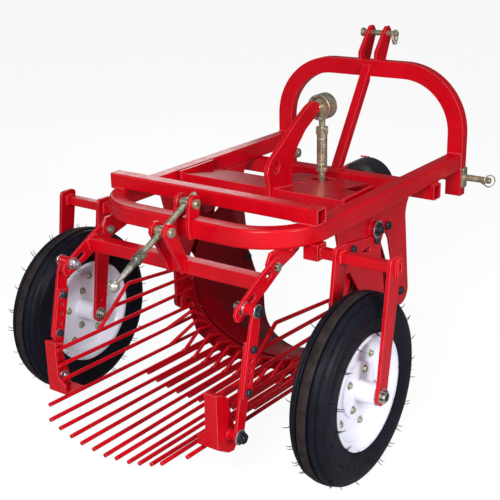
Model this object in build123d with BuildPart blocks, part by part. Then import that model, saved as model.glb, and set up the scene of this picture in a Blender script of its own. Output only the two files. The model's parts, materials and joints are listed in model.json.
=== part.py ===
"""Single-row, three-point mounted potato digger with a shaken riddle on two wheels.

Axes: +Y is forward (to the tractor), +X is the machine's right, +Z is up, ground is z = 0.
It is drawn with y = 0 at the wheels' axle, and save() then moves each piece back by origin_y.
All lengths are in millimetres.
"""
import os
from math import atan2, cos, degrees, radians, sin, sqrt, tan

from build123d import *

os.makedirs("parts", exist_ok=True)

# ---------------------------------------------------------------- main frame
frame_half_width = 372.0      # outer face of the rails
rail_width = 50.0
rail_height = 55.0
rail_bottom_z = 640.0
rail_top_z = rail_bottom_z + rail_height
rail_front_y = 962.0
rail_rear_y = -98.0
corner_radius = 200.0         # outer radius of the two rear corners
rail_edge_radius = 7.0

# ---------------------------------------------------------------- hitch
arch_half_width = frame_half_width + 2.0
arch_tube_width = 56.0
arch_tube_depth = 36.0
arch_wall = 4.0
arch_top_z = 988.0
arch_bottom_z = 548.0
arch_radius = 230.0
arch_rear_y = rail_front_y
arch_mid_y = arch_rear_y + arch_tube_depth / 2

lower_pin_z = 612.0
lower_pin_radius = 11.0       # 22 mm pin of a small tractor hitch
lower_pin_tip_x = arch_half_width + 100.0
lower_pin_lug_height = 70.0
mast_height = 460.0
top_pin_z = lower_pin_z + mast_height
top_pin_y = 1046.0
top_pin_radius = 9.5          # 19 mm pin
top_plate_gap = 52.0          # clear width between the two top plates
top_plate_thickness = 10.0
linch_hole_radius = 5.5
linch_pin_radius = 5.0
linch_setback = 16.0          # linch hole to the tip of the link pin
linch_ring_radius = 20.0
linch_wire_radius = 2.2
linch_open_angle = 42.0       # the ring hangs open past the pin's tip

brace_width = 30.0
brace_top_z = 945.0
brace_foot_y = 762.0

# ---------------------------------------------------------------- cross tubes
front_tube_size = 50.0
front_tube_y = 735.0
front_tube_half = frame_half_width + 11.0
rear_tube_size = 45.0
rear_tube_y = 36.0
rear_tube_half = frame_half_width + 4.0
tube_wall = 4.0

# ---------------------------------------------------------------- side plates
side_plate_inner_x = frame_half_width - rail_width   # welded under the rails' inner edge
side_plate_thickness = 8.0
side_plate_outer_x = side_plate_inner_x + side_plate_thickness
share_bolt_y = 618.0
share_bolt_z = 306.0
share_upper_bolt_y = 516.0
share_upper_bolt_z = 558.0
share_bolt_radius = 7.0
side_boss_length = 26.0
doubler_thickness = 8.0
doubler_bolts = [(291.0, 548.0), (434.0, 535.0)]

# ---------------------------------------------------------------- shaker
rock_y = 428.0                # rock shaft axis
rock_z = 573.0
rock_shaft_radius = 15.0
rock_bush_radius = 24.0
shaker_side_thickness = 8.0
shaker_side_gap = 12.0        # shaker side to side plate
shaker_side_inner_x = side_plate_inner_x - shaker_side_gap - shaker_side_thickness
shaker_side_outer_x = shaker_side_inner_x + shaker_side_thickness
riddle_pin_y = 270.0          # lower end of the shaker sides
riddle_pin_z = 255.0
riddle_pin_radius = 8.0
deck_rear_y = 294.0
deck_front_y = 640.0
deck_rear_z = 690.0
deck_front_z = 645.0
deck_thickness = 6.0
deck_hole_radius = 42.0
lever_thickness = 15.0
lever_tip_y = 558.0           # the lever ends against the drum's pin

# ---------------------------------------------------------------- drive
drive_x = 50.0                # crank, rod, drum and lever stand right of the middle
rod_y = 585.0
drum_z = 893.0
drum_radius = 42.0
drum_length = 46.0
drum_bore = 32.0
drum_pin_radius = 10.0
rod_head_radius = 29.0
rod_head_length = 28.0
rod_neck_radius = 10.5
rod_neck_gap = 7.0
sleeve_radius = 20.0
sleeve_bottom_z = 678.0
sleeve_top_z = 804.0
pto_z = 558.0
pto_shaft_radius = 17.45      # 1 3/8 inch splined shaft
crank_throw = 6.0
crank_disc_radius = 17.0
crank_disc_length = 24.0
crank_ring_bore = crank_disc_radius + crank_throw + 8.5
crank_ring_radius = crank_ring_bore + 10.0
housing_radius = rail_bottom_z - front_tube_size - pto_z
housing_bore = 25.0
housing_rear_y = 632.0
housing_front_y = 812.0
guard_radius = 97.0
guard_front_y = 912.0
guard_wall = 3.0
pto_tip_y = 905.0
spline_length = 75.0

# ---------------------------------------------------------------- rocker
rocker_pivot_y = -68.0
rocker_pivot_z = 601.0
rocker_slope = 24.5           # degrees the arms fall to the rear
rocker_arm_thickness = 8.0
rocker_arm_x = side_plate_inner_x - 17.0
rocker_tube_size = 40.0
rocker_tube_y = -127.0
bracket_thickness = 8.0
bracket_x = rocker_arm_x - 3.0 - bracket_thickness      # inside the rocker's arm
hanger_top_reach = 161.0      # pivot to hanger bolt along the arm

# ---------------------------------------------------------------- depth screw
screw_x = 32.0
upper_trunnion_y = -90.0
upper_trunnion_z = 741.0
lower_trunnion_y = -200.0
lower_trunnion_z = 689.0
screw_radius = 8.0
clevis_gap = 36.0
clevis_thickness = 10.0

# ---------------------------------------------------------------- hangers
hanger_bush_radius = 16.0
hanger_width = 40.0
hanger_thickness = 8.0
hanger_bottom_y = -292.0
hanger_bottom_z = 205.0
hanger_lower_x = rocker_arm_x + 31.0
hanger_upper_x = hanger_lower_x + hanger_thickness

# ---------------------------------------------------------------- share and riddle
share_half_width = side_plate_inner_x - 32.0
share_depth = 198.0
share_section_z = 316.0       # height of the widest point of the section
share_rear_y = 312.0
share_crease_y = 392.0
share_slope = 29.0            # degrees the blade falls to the front
share_wall = 4.0
share_wall_top_z = 585.0
arc_front_y = 292.0
arc_thickness = 8.0
arc_rear_y = arc_front_y - arc_thickness
arc_outer_half = shaker_side_inner_x - 5.0    # clear of the shaker sides
arc_inner_half = arc_outer_half - 27.0
arc_inner_depth = 196.0
arc_floor_z = 82.0
arc_ear_top_z = 402.0
rod_radius = 6.0
weld_step = 11.0              # middle to middle of two rods welded along each other
doubler_rear_y = -34.0
rod_rear_y = -446.0
hook_bend_y = 228.0
hook_foot_y = 146.0
tab_rod_x = arc_inner_half - 16.0
tab_rod_rear_y = -401.0
side_rod_x = arc_outer_half - 20.5
flange_front_y = -337.0       # rear flange of the riddle brackets
flange_inner_x = side_rod_x - 24.5
riddle_bracket_thickness = 8.0
riddle_bracket_x = arc_outer_half + 7.0

# the finished pieces move back by this, so that y = 0 is the middle of the footprint
origin_y = (top_pin_y + 25.0 + rod_rear_y - 0.2) / 2

# ---------------------------------------------------------------- wheels
axle_z = 270.0
tyre_radius = 270.0
tyre_width = 108.0
rim_radius = 165.0
rim_width = 92.0
fork_bar_width = 62.0
fork_bar_thickness = 10.0
fork_inner_x = frame_half_width + 57.0
wheel_x = fork_inner_x + fork_bar_thickness + 23.0 + tyre_width / 2
fork_outer_x = wheel_x + tyre_width / 2 + 22.0
fork_top_y = 58.5
crossbar_size = 28.0
fork_sleeve_size = 45.0
axle_radius = 10.0


def plate_x(points, x_start, thickness):
    """Flat plate lying in a YZ plane, its outline given as (y, z) points."""
    with BuildPart() as plate:
        with BuildSketch(Plane.YZ.offset(x_start)):
            with BuildLine():
                Polyline(*points, close=True)
            make_face()
        extrude(amount=thickness)
    return plate.part


def disc_x(y, z, radius, x_start, length):
    """Round bar along X."""
    return Pos(x_start + length / 2, y, z) * Rot(0, 90, 0) * Cylinder(radius, length)


def disc_y(x, z, radius, y_start, length):
    """Round bar along Y."""
    return Pos(x, y_start + length / 2, z) * Rot(-90, 0, 0) * Cylinder(radius, length)


def hex_x(y, z, flats, x_start, length):
    """Hexagon bar along X, for bolt heads and nuts."""
    with BuildPart() as bar:
        with BuildSketch(Plane.YZ.offset(x_start)):
            with Locations((y, z)):
                RegularPolygon(flats / sqrt(3), 6)
        extrude(amount=length)
    return bar.part


def box_at(x0, x1, y0, y1, z0, z1):
    """Box from its six faces."""
    middle = Pos((x0 + x1) / 2, (y0 + y1) / 2, (z0 + z1) / 2)
    return middle * Box(x1 - x0, y1 - y0, z1 - z0)


def mirrored(shape):
    """The same piece on the other side of the machine."""
    return mirror(shape, about=Plane.YZ)


def round_rod(points, radius, bend=18.0):
    """Round rod along a bent line."""
    with BuildPart() as rod:
        with BuildLine() as path:
            if len(points) > 2:
                FilletPolyline(*points, radius=bend)
            else:
                Line(*points)
        with BuildSketch(Plane(origin=path.line @ 0, z_dir=path.line % 0)):
            Circle(radius)
        sweep()
    return rod.part


def save(shape, name):
    """Label a finished piece and write its file."""
    placed = Pos(0, -origin_y, 0) * shape
    placed.label = name
    export_step(placed, f"parts/{name}.step")


# ================================================================ main frame
with BuildPart() as main_frame:
    with BuildSketch(Plane.XY.offset(rail_bottom_z)):
        outer_length = rail_front_y - rail_rear_y
        with Locations((0, (rail_front_y + rail_rear_y) / 2)):
            outer = Rectangle(2 * frame_half_width, outer_length)
        fillet(outer.vertices().group_by(Axis.Y)[0], corner_radius)
        inner_half = frame_half_width - rail_width
        inner_rear = rail_rear_y + rail_width
        with BuildSketch(mode=Mode.PRIVATE) as inner:
            with Locations((0, (rail_front_y + 10 + inner_rear) / 2)):
                hole = Rectangle(2 * inner_half, rail_front_y + 10 - inner_rear)
            fillet(hole.vertices().group_by(Axis.Y)[0], corner_radius - rail_width)
        add(inner.sketch, mode=Mode.SUBTRACT)
    extrude(amount=rail_height)
    long_edges = main_frame.edges().filter_by(lambda e: e.length > 100)
    fillet(long_edges, rail_edge_radius)
frame_wall = 4.0
with BuildPart() as frame_bore:
    with BuildSketch(Plane.XY.offset(rail_bottom_z + frame_wall)):
        bore_half = frame_half_width - frame_wall
        bore_rear = rail_rear_y + frame_wall
        with Locations((0, (rail_front_y + bore_rear) / 2)):
            outer_bore = Rectangle(2 * bore_half, rail_front_y - bore_rear)
        fillet(outer_bore.vertices().group_by(Axis.Y)[0], corner_radius - frame_wall)
        core_half = frame_half_width - rail_width + frame_wall
        core_rear = rail_rear_y + rail_width - frame_wall
        with BuildSketch(mode=Mode.PRIVATE) as core:
            with Locations((0, (rail_front_y + 10 + core_rear) / 2)):
                core_area = Rectangle(2 * core_half, rail_front_y + 10 - core_rear)
            fillet(core_area.vertices().group_by(Axis.Y)[0], corner_radius - rail_width + frame_wall)
        add(core.sketch, mode=Mode.SUBTRACT)
    extrude(amount=rail_height - 2 * frame_wall)
save(main_frame.part - frame_bore.part, "main_frame")


# ================================================================ hitch arch
def arch_sketch(inset):
    """Inverted U between the outer line and the tube width, less an inset."""
    half = arch_half_width - inset
    inner = arch_half_width - arch_tube_width + inset
    top = arch_top_z - inset
    inner_top = arch_top_z - arch_tube_width + inset
    r_out = arch_radius - inset
    r_in = arch_radius - arch_tube_width + inset
    low = arch_bottom_z - (5 if inset else 0)
    with BuildSketch(Plane.XZ) as arch:
        with Locations((0, (top + low) / 2)):
            body = Rectangle(2 * half, top - low)
        fillet(body.vertices().group_by(Axis.Y)[-1], r_out)
        with BuildSketch(mode=Mode.PRIVATE) as gap:
            with Locations((0, (inner_top + low - 5) / 2)):
                void = Rectangle(2 * inner, inner_top - low + 5)
            fillet(void.vertices().group_by(Axis.Y)[-1], r_in)
        add(gap.sketch, mode=Mode.SUBTRACT)
    return arch.sketch


arch_outside = extrude(arch_sketch(0), amount=-arch_tube_depth)
arch_inside = extrude(arch_sketch(arch_wall), amount=-(arch_tube_depth - 2 * arch_wall))
hitch_arch = Pos(0, arch_rear_y, 0) * arch_outside
hitch_arch -= Pos(0, arch_rear_y + arch_wall, 0) * arch_inside
for side in (-1, 1):
    leg_x = side * (arch_half_width - arch_tube_width / 2)
    hitch_arch -= disc_x(arch_mid_y, lower_pin_z, lower_pin_radius + 0.02, leg_x - 40, 80)
save(hitch_arch, "hitch_arch")

# lower link pins: pin through the leg, shoulder plate outside and nut inside
pin_inner_x = arch_half_width - arch_tube_width - 26
pin_length = lower_pin_tip_x - pin_inner_x
pin_seat_end_x = lower_pin_tip_x - 28.0
lower_pin = disc_x(arch_mid_y, lower_pin_z, lower_pin_radius - 0.5, pin_inner_x, pin_length)
lower_pin = chamfer(lower_pin.edges().sort_by(Axis.X)[-1], 2)
lower_pin += disc_x(arch_mid_y, lower_pin_z, lower_pin_radius, pin_inner_x, pin_seat_end_x - pin_inner_x)
lug_x = arch_half_width
lug = box_at(lug_x, lug_x + 8, arch_mid_y - 16, arch_mid_y + 16, lower_pin_z - 35, lower_pin_z + 35)
lower_pin += fillet(lug.edges().filter_by(Axis.X), 8)
lower_pin += hex_x(arch_mid_y, lower_pin_z, 32, pin_inner_x + 4, 22)
linch_x = lower_pin_tip_x - linch_setback
lower_pin -= disc_y(linch_x, lower_pin_z, linch_hole_radius, arch_mid_y - 30, 60)
save(Compound([lower_pin, mirrored(lower_pin)]), "lower_link_pins")

# linch pins: a short fore-and-aft pin with a round spring ring hanging open over the tip
head_y = arch_mid_y - lower_pin_radius - 8
linch_pin = disc_y(linch_x, lower_pin_z, linch_pin_radius, head_y - 5, 46)
linch_pin += disc_y(linch_x, lower_pin_z, 9, head_y - 6, 12)
open_angle = radians(linch_open_angle)
ring_middle = (
    linch_x + linch_ring_radius * sin(open_angle),
    head_y + linch_ring_radius * cos(open_angle),
    lower_pin_z,
)
ring_plane = Plane(origin=ring_middle, z_dir=(cos(open_angle), -sin(open_angle), 0))
linch_pin += ring_plane * Torus(linch_ring_radius, linch_wire_radius)
save(linch_pin, "linch_pin_right")
save(mirrored(linch_pin), "linch_pin_left")

# top link plates lean forward from the arch
top_plate_points = [
    (arch_rear_y + 2, arch_top_z - 22),
    (arch_rear_y + 2, arch_top_z + 26),
    (top_pin_y - 22, top_pin_z + 14),
    (top_pin_y - 8, top_pin_z + 25),
    (top_pin_y + 12, top_pin_z + 25),
    (top_pin_y + 25, top_pin_z + 10),
    (top_pin_y + 25, top_pin_z - 12),
    (arch_rear_y + arch_tube_depth + 26, arch_top_z - 30),
    (arch_rear_y + arch_tube_depth, arch_top_z - 50),
]
top_plate = plate_x(top_plate_points, top_plate_gap / 2, top_plate_thickness)
top_plate -= Pos(0, arch_mid_y, arch_top_z - 30) * Box(200, arch_tube_depth, 60)
top_hole = disc_x(top_pin_y, top_pin_z, top_pin_radius + 0.25, -100, 200)
top_plates = Compound([top_plate - top_hole, mirrored(top_plate) - top_hole])
save(top_plates, "top_link_plates")

top_pin = disc_x(top_pin_y, top_pin_z, top_pin_radius, -66, 140)
top_pin += disc_x(top_pin_y, top_pin_z, 15, -66, 8)
top_pin -= Pos(64, top_pin_y, top_pin_z) * Cylinder(linch_hole_radius, 60)
save(top_pin, "top_link_pin")

top_linch = Pos(64, top_pin_y, top_pin_z - 11) * Cylinder(linch_pin_radius, 50)
top_linch += Pos(64, top_pin_y, top_pin_z - 31) * Cylinder(8, 11)
top_ring = Plane(origin=(64, top_pin_y, top_pin_z - 9.4), z_dir=(1, 0, 0))
top_linch += top_ring * Torus(22, linch_wire_radius)
save(top_linch, "linch_pin_top")

# brace from the top of the arch down to the front cross tube
brace_fall = degrees(atan2(arch_rear_y - brace_foot_y, brace_top_z - rail_bottom_z))
brace_length = 360.0
brace = Pos(0, (arch_rear_y + brace_foot_y) / 2, (brace_top_z + rail_bottom_z) / 2)
brace = brace * Rot(-brace_fall, 0, 0) * Box(brace_width, brace_width, brace_length + 60)
keep = box_at(-40, 40, brace_foot_y - 60, arch_rear_y, rail_bottom_z, arch_top_z)
hitch_brace = brace & keep
save(hitch_brace, "hitch_brace")

# ================================================================ cross tubes
front_tube_z = rail_bottom_z - front_tube_size
front_outer = box_at(
    -front_tube_half, front_tube_half,
    front_tube_y, front_tube_y + front_tube_size,
    front_tube_z, rail_bottom_z,
)
front_outer = fillet(front_outer.edges().filter_by(Axis.X), 5)
front_inner = box_at(
    -front_tube_half - 1, front_tube_half + 1,
    front_tube_y + tube_wall, front_tube_y + front_tube_size - tube_wall,
    front_tube_z + tube_wall, rail_bottom_z - tube_wall,
)
save(front_outer - front_inner, "front_cross_tube")

rear_outer = box_at(
    -rear_tube_half, rear_tube_half,
    rear_tube_y, rear_tube_y + rear_tube_size,
    rail_top_z, rail_top_z + rear_tube_size,
)
rear_outer = fillet(rear_outer.edges().filter_by(Axis.X), 5)
rear_inner = box_at(
    -rear_tube_half - 1, rear_tube_half + 1,
    rear_tube_y + tube_wall, rear_tube_y + rear_tube_size - tube_wall,
    rail_top_z + tube_wall, rail_top_z + rear_tube_size - tube_wall,
)
save(rear_outer - rear_inner, "rear_cross_tube")

# ================================================================ side plates
with BuildPart() as side_plate:
    with BuildSketch(Plane.YZ.offset(side_plate_inner_x)) as outline:
        with BuildLine():
            Polyline(
                (206, rail_bottom_z), (232, 548), (288, 480), (360, 385), (402, 320),
                (430, 300), (500, 318), (508, 350), (497, 405), (482, 470), (480, 512),
                (494, 536), (514, 538), (534, 510), (552, 450), (570, 380), (584, 300),
            )
            ThreePointArc((584, 300), (630, 253), (676, 303))
            Line((676, 303), (642, 560))
            ThreePointArc((642, 560), (659, 610), (700, rail_bottom_z))
            Line((700, rail_bottom_z), (206, rail_bottom_z))
        make_face()
    extrude(amount=side_plate_thickness)
rock_bore = disc_x(rock_y, rock_z, rock_shaft_radius + 0.05, 250, 150)
share_bolts = [(share_bolt_y, share_bolt_z), (share_upper_bolt_y, share_upper_bolt_z)]
side_boss = disc_x(rock_y, rock_z, rock_bush_radius, side_plate_inner_x, side_boss_length)
right_side = side_plate.part + side_boss - rock_bore
for y, z in share_bolts + doubler_bolts:
    right_side -= disc_x(y, z, share_bolt_radius + 0.05, 250, 150)
teardrop_points = [(346, 522), (385, 508), (396, 510), (401, 518), (396, 526), (385, 528)]
right_side -= plate_x(teardrop_points, side_plate_inner_x - 5, 40)
save(Compound([right_side, mirrored(right_side)]), "side_plates")

doubler_points = [
    (238, 484), (238, 562), (258, 573), (330, 563), (398, 552), (446, 556), (462, 540),
    (464, 478), (300, 476),
]
doubler = plate_x(doubler_points, side_plate_outer_x, doubler_thickness)
doubler -= plate_x(teardrop_points, side_plate_outer_x - 5, 40)
doubler -= disc_x(rock_y, rock_z, rock_bush_radius + 1, 250, 150)
for y, z in doubler_bolts:
    doubler -= disc_x(y, z, share_bolt_radius + 0.05, 250, 150)
save(Compound([doubler, mirrored(doubler)]), "side_doublers")

# ================================================================ share
def trough_section(y, offset, height):
    """Half-elliptical gutter section with upright sides, drawn on an XZ plane."""
    a = share_half_width + offset
    b = share_depth + offset
    rear_facing = Plane(origin=(0, y, share_section_z), x_dir=(1, 0, 0), z_dir=(0, -1, 0))
    with BuildSketch(rear_facing) as section:
        with BuildLine():
            EllipticalCenterArc((0, 0), a, b, start_angle=180, arc_size=180)
            Line((a, 0), (a, height))
            Line((a, height), (-a, height))
            Line((-a, height), (-a, 0))
        make_face()
    return section.sketch


wall_height = share_wall_top_z - share_section_z
rear_run = share_crease_y - share_rear_y
blade_run = 420.0
blade_dir = Vector(0, cos(radians(share_slope)), -sin(radians(share_slope)))
outer_rear = extrude(trough_section(share_rear_y, share_wall, wall_height), amount=-rear_run)
inner_rear_cut = extrude(trough_section(share_rear_y - 1, 0, wall_height + 5), amount=-(rear_run + 2))
outer_blade = extrude(
    trough_section(share_crease_y, share_wall, wall_height), amount=blade_run, dir=blade_dir
)
inner_blade = extrude(
    trough_section(share_crease_y - 1, 0, wall_height + 5), amount=blade_run + 20, dir=blade_dir
)
share = (outer_rear + outer_blade) - inner_rear_cut - inner_blade
# concave cutting edge seen from above
edge_radius = 362.0
share -= Pos(0, 578 + edge_radius, 0) * Cylinder(edge_radius, 1200)
# side walls: sloping front edge and stepped-back rear edge
wall_front = [(540, 700), (542, 497), (636, 318), (664, 251), (744, 70), (1000, 70), (1000, 700)]
share -= plate_x(wall_front, -400, 800)
wall_rear = [(200, 700), (200, 330), (312, 330), (330, 406), (356, 450), (374, 700)]
share -= plate_x(wall_rear, -400, 800)
share -= box_at(-400, 400, 200, 1000, share_wall_top_z, 900)
share -= box_at(-400, 400, 200, 1200, -300, 4)
# clear the rock shaft and its hubs
share -= disc_x(rock_y, rock_z, 56, -400, 800)
for y, z in share_bolts:
    share -= disc_x(y, z, share_bolt_radius + 0.05, -400, 800)
share_body = share.solids().sort_by(SortBy.VOLUME)[-1]
save(share_body, "share")

share_outer_x = share_half_width + share_wall
spacer_length = side_plate_inner_x - share_outer_x
bolt_reach = side_plate_outer_x - share_half_width
spacers = []
frame_bolts = []
for y, z in share_bolts:
    spacer = disc_x(y, z, 14, share_outer_x, spacer_length)
    spacer -= disc_x(y, z, share_bolt_radius + 0.05, 250, 150)
    spacers += [spacer, mirrored(spacer)]
    bolt = disc_x(y, z, share_bolt_radius, share_half_width - 12, bolt_reach + 26)
    bolt += hex_x(y, z, 24, side_plate_outer_x, 10)
    bolt += hex_x(y, z, 24, share_half_width - 12, 12)
    frame_bolts += [bolt, mirrored(bolt)]
save(Compound(spacers), "share_spacers")

doubler_outer_x = side_plate_outer_x + doubler_thickness
for y, z in doubler_bolts:
    bolt = disc_x(y, z, share_bolt_radius, side_plate_inner_x, doubler_outer_x - side_plate_inner_x)
    bolt += hex_x(y, z, 21, doubler_outer_x, 9)
    frame_bolts += [bolt, mirrored(bolt)]

# ================================================================ shaker cradle
side_points = [
    (deck_rear_y - 8, deck_rear_z + 8), (460, deck_rear_z + 8), (476, 600),
    (476, 545), (452, 528), (380, 500), (312, 400), (306, 300), (306, 262),
    (298, 240), (280, 226), (256, 226), (238, 240), (232, 262), (232, 400),
    (268, 500), (deck_rear_y - 8, 590),
]
shaker_side = plate_x(side_points, shaker_side_inner_x, shaker_side_thickness)
shaker_side += disc_x(rock_y, rock_z, 34, shaker_side_inner_x, shaker_side_thickness)
shaker_side -= disc_x(rock_y, rock_z, rock_shaft_radius, 250, 150)
shaker_side -= disc_x(riddle_pin_y, riddle_pin_z, riddle_pin_radius + 0.05, 250, 150)
save(Compound([shaker_side, mirrored(shaker_side)]), "shaker_sides")

rock_shaft_half = side_plate_inner_x + side_boss_length + 1
rock_shaft = disc_x(rock_y, rock_z, rock_shaft_radius, -rock_shaft_half, 2 * rock_shaft_half)
shaft_end = disc_x(rock_y, rock_z, 22, rock_shaft_half, 3.5)
shaft_end += hex_x(rock_y, rock_z, 24, rock_shaft_half + 3.5, 9)
rock_shaft += shaft_end + mirrored(shaft_end)
save(rock_shaft, "rock_shaft")

deck_rise = degrees(atan2(deck_rear_z - deck_front_z, deck_front_y - deck_rear_y))
deck_points = [
    (deck_rear_y, deck_rear_z), (deck_front_y, deck_front_z),
    (deck_front_y, deck_front_z - deck_thickness),
    (deck_rear_y + deck_thickness, deck_rear_z - deck_thickness),
    (deck_rear_y + deck_thickness, deck_rear_z - 48), (deck_rear_y, deck_rear_z - 48),
]
shaker_deck = plate_x(deck_points, -shaker_side_inner_x, 2 * shaker_side_inner_x)
shaker_deck -= Pos(drive_x, rod_y, 650) * Cylinder(deck_hole_radius, 120)
deck_arm_left = -70.0
deck_arm_right = 190.0
deck_arm_y = 470.0
shaker_deck -= box_at(-shaker_side_outer_x, deck_arm_left, deck_arm_y, 700, 600, 700)
shaker_deck -= box_at(deck_arm_right, shaker_side_outer_x, deck_arm_y, 700, 600, 700)
lever_x = drive_x - lever_thickness / 2
shaker_deck -= box_at(lever_x, lever_x + lever_thickness, 290, 470, 600, 700)
save(shaker_deck, "shaker_deck")

with BuildPart() as shaker_lever:
    with BuildSketch(Plane.YZ.offset(lever_x)):
        with BuildLine():
            Polyline(
                (274, 646), (271, 705), (263, 742), (270, 764), (286, 782), (315, 801), (363, 833),
                (401, 859), (454, 891), (489, 910), (514, 919), (536, 919), (550, 912),
                (lever_tip_y, 902), (lever_tip_y, 884), (548, 878), (524, 865), (477, 840), (450, 815),
                (434, 801), (423, 787), (411, 763), (399, 740), (394, 715), (404, 645), (446, 580),
                (428, 573), (410, 580), (380, 630), (274, 646),
            )
        make_face()
    extrude(amount=lever_thickness)
lever_body = shaker_lever.part - disc_x(309, 754, 20, lever_x - 5, 30)
lever_body += disc_x(rock_y, rock_z, 28, lever_x, lever_thickness)
lever_body -= disc_x(rock_y, rock_z, rock_shaft_radius, lever_x - 10, 40)
save(lever_body, "shaker_lever")

# drum: a cup open to the rear, its pin welded to the lever's tip
drum_rear_y = rod_y - drum_length / 2
drum_front_y = drum_rear_y + drum_length
drum = disc_y(drive_x, drum_z, drum_radius, drum_rear_y, drum_length)
drum -= disc_y(drive_x, drum_z, drum_bore, drum_rear_y - 1, drum_length - 3)
drum = chamfer(drum.edges().filter_by(GeomType.CIRCLE).sort_by(Axis.Y)[0:2], 1.5)
drum -= Pos(drive_x, rod_y, drum_z - 40) * Cylinder(rod_neck_radius + rod_neck_gap, 60)
drum += disc_y(drive_x, drum_z, drum_pin_radius, lever_tip_y, drum_front_y - lever_tip_y)
save(drum, "lever_drum")

# ================================================================ connecting rod
rod_top = disc_y(drive_x, drum_z, rod_head_radius, rod_y - rod_head_length / 2, rod_head_length)
neck_top = Pos(drive_x, rod_y, (drum_z + sleeve_top_z - 12) / 2)
rod_top += neck_top * Cylinder(rod_neck_radius, drum_z - sleeve_top_z + 12)
with BuildPart() as nut:
    with BuildSketch(Plane.XY.offset(sleeve_top_z)):
        with Locations((drive_x, rod_y)):
            RegularPolygon(22.5, 6)
    extrude(amount=22)
rod_top += nut.part
rod_top -= disc_y(drive_x, drum_z, drum_pin_radius + 0.05, rod_y - 40, 80)
save(rod_top, "rod_top_end")

sleeve_height = sleeve_top_z - sleeve_bottom_z
sleeve = Pos(drive_x, rod_y, (sleeve_top_z + sleeve_bottom_z) / 2)
sleeve = sleeve * Cylinder(sleeve_radius, sleeve_height)
sleeve -= Pos(drive_x, rod_y, sleeve_top_z - 6) * Cylinder(rod_neck_radius, 12)
sleeve -= Pos(drive_x, rod_y, sleeve_bottom_z + 6) * Cylinder(rod_neck_radius, 12)
sleeve -= Pos(drive_x, rod_y, sleeve_top_z - 20) * Rot(90, 0, 0) * Cylinder(3, 60)
save(sleeve, "rod_sleeve")

ring_width = 26.0
rod_bottom = disc_y(drive_x, pto_z, crank_ring_radius, rod_y - ring_width / 2, ring_width)
neck_bottom_z = pto_z + crank_ring_radius - 4
rod_bottom += Pos(drive_x, rod_y, (neck_bottom_z + sleeve_bottom_z + 12) / 2) * Cylinder(
    rod_neck_radius, sleeve_bottom_z + 12 - neck_bottom_z
)
rod_bottom -= disc_y(drive_x, pto_z, crank_ring_bore, rod_y - ring_width, 2 * ring_width)
save(rod_bottom, "rod_bottom_end")

# ================================================================ drive shaft
shaft_rear_y = rod_y - crank_disc_length / 2 - 8
pto_shaft = disc_y(drive_x, pto_z, 13.0, rod_y + crank_disc_length / 2, housing_front_y - rod_y)
spline_rear_y = pto_tip_y - spline_length
pto_shaft += disc_y(drive_x, pto_z, 19.0, housing_front_y - 4, spline_rear_y - housing_front_y + 4)
pto_shaft += disc_y(drive_x, pto_z, pto_shaft_radius, spline_rear_y - 1, spline_length + 1)
save(pto_shaft, "pto_shaft")

crank_disc = disc_y(
    drive_x, pto_z + crank_throw, crank_disc_radius, rod_y - crank_disc_length / 2, crank_disc_length
)
crank_disc += disc_y(drive_x, pto_z, 20.0, rod_y + crank_disc_length / 2, 12)
crank_disc -= disc_y(drive_x, pto_z, 13.0, rod_y + crank_disc_length / 2, 14)
save(crank_disc, "crank_disc")

housing_length = housing_front_y - housing_rear_y
pto_housing = disc_y(drive_x, pto_z, housing_radius, housing_rear_y, housing_length)
pto_housing -= disc_y(drive_x, pto_z, housing_bore, housing_rear_y - 1, housing_length + 2)
for foot_x in (drive_x - housing_radius - 14, drive_x + housing_radius - 6):
    foot = box_at(foot_x, foot_x + 20, front_tube_y + 6, front_tube_y + 44, pto_z, front_tube_z)
    pto_housing += foot - disc_y(drive_x, pto_z, housing_bore, 600, 400)
save(pto_housing, "pto_housing")

bearings = []
for y in (housing_rear_y + 2, housing_front_y - 26):
    ring = disc_y(drive_x, pto_z, housing_bore, y, 18)
    bearings.append(ring - disc_y(drive_x, pto_z, 13.02, y - 1, 20))
save(Compound(bearings), "pto_bearings")

guard = disc_y(drive_x, pto_z, guard_radius, housing_front_y, guard_front_y - housing_front_y)
guard = fillet(guard.edges().sort_by(Axis.Y)[0], 22)
guard_hollow = disc_y(drive_x, pto_z, guard_radius - guard_wall, housing_front_y + guard_wall, 200)
guard_hollow = fillet(guard_hollow.edges().sort_by(Axis.Y)[0], 19)
guard -= guard_hollow
guard -= disc_y(drive_x, pto_z, 26.0, housing_front_y - 5, 20)
save(guard, "pto_guard")

# ================================================================ rocker frame
slope = radians(rocker_slope)
arm_dir = Vector(0, -cos(slope), -sin(slope))
arm_up = Vector(0, -sin(slope), cos(slope))


def on_arm(along, up):
    """(y, z) of a point on the rocker arm, measured from its pivot."""
    return (
        rocker_pivot_y + along * arm_dir.Y + up * arm_up.Y,
        rocker_pivot_z + along * arm_dir.Z + up * arm_up.Z,
    )


tube_along = (rocker_pivot_y - rocker_tube_y) / cos(slope)
tube_mid = on_arm(tube_along, 0)
arm_outline = [
    on_arm(-24, -10), on_arm(-24, 12), on_arm(-10, 25), on_arm(60, 27),
    on_arm(190, 20), on_arm(203, 8), on_arm(203, -12), on_arm(190, -22),
    on_arm(60, -27), on_arm(-8, -24),
]
rocker_arm = plate_x(arm_outline, rocker_arm_x, rocker_arm_thickness)
rocker_arm -= disc_x(rocker_pivot_y, rocker_pivot_z, 7.05, 250, 150)
slot_points = [on_arm(112, -8.1), on_arm(112, 8.1), on_arm(188, 8.1), on_arm(188, -8.1)]
slot_cut = plate_x(slot_points, rocker_arm_x - 5, 20)
rocker_arm -= slot_cut
window_points = [on_arm(26, -6), on_arm(26, 10), on_arm(50, 10), on_arm(50, -6)]
rocker_arm -= plate_x(window_points, rocker_arm_x - 5, 20)
tube_half = rocker_arm_x
rocker_tube = Pos(0, *tube_mid) * Box(2 * tube_half, rocker_tube_size, rocker_tube_size)
rocker_tube = fillet(rocker_tube.edges().filter_by(Axis.X), 4)
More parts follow.
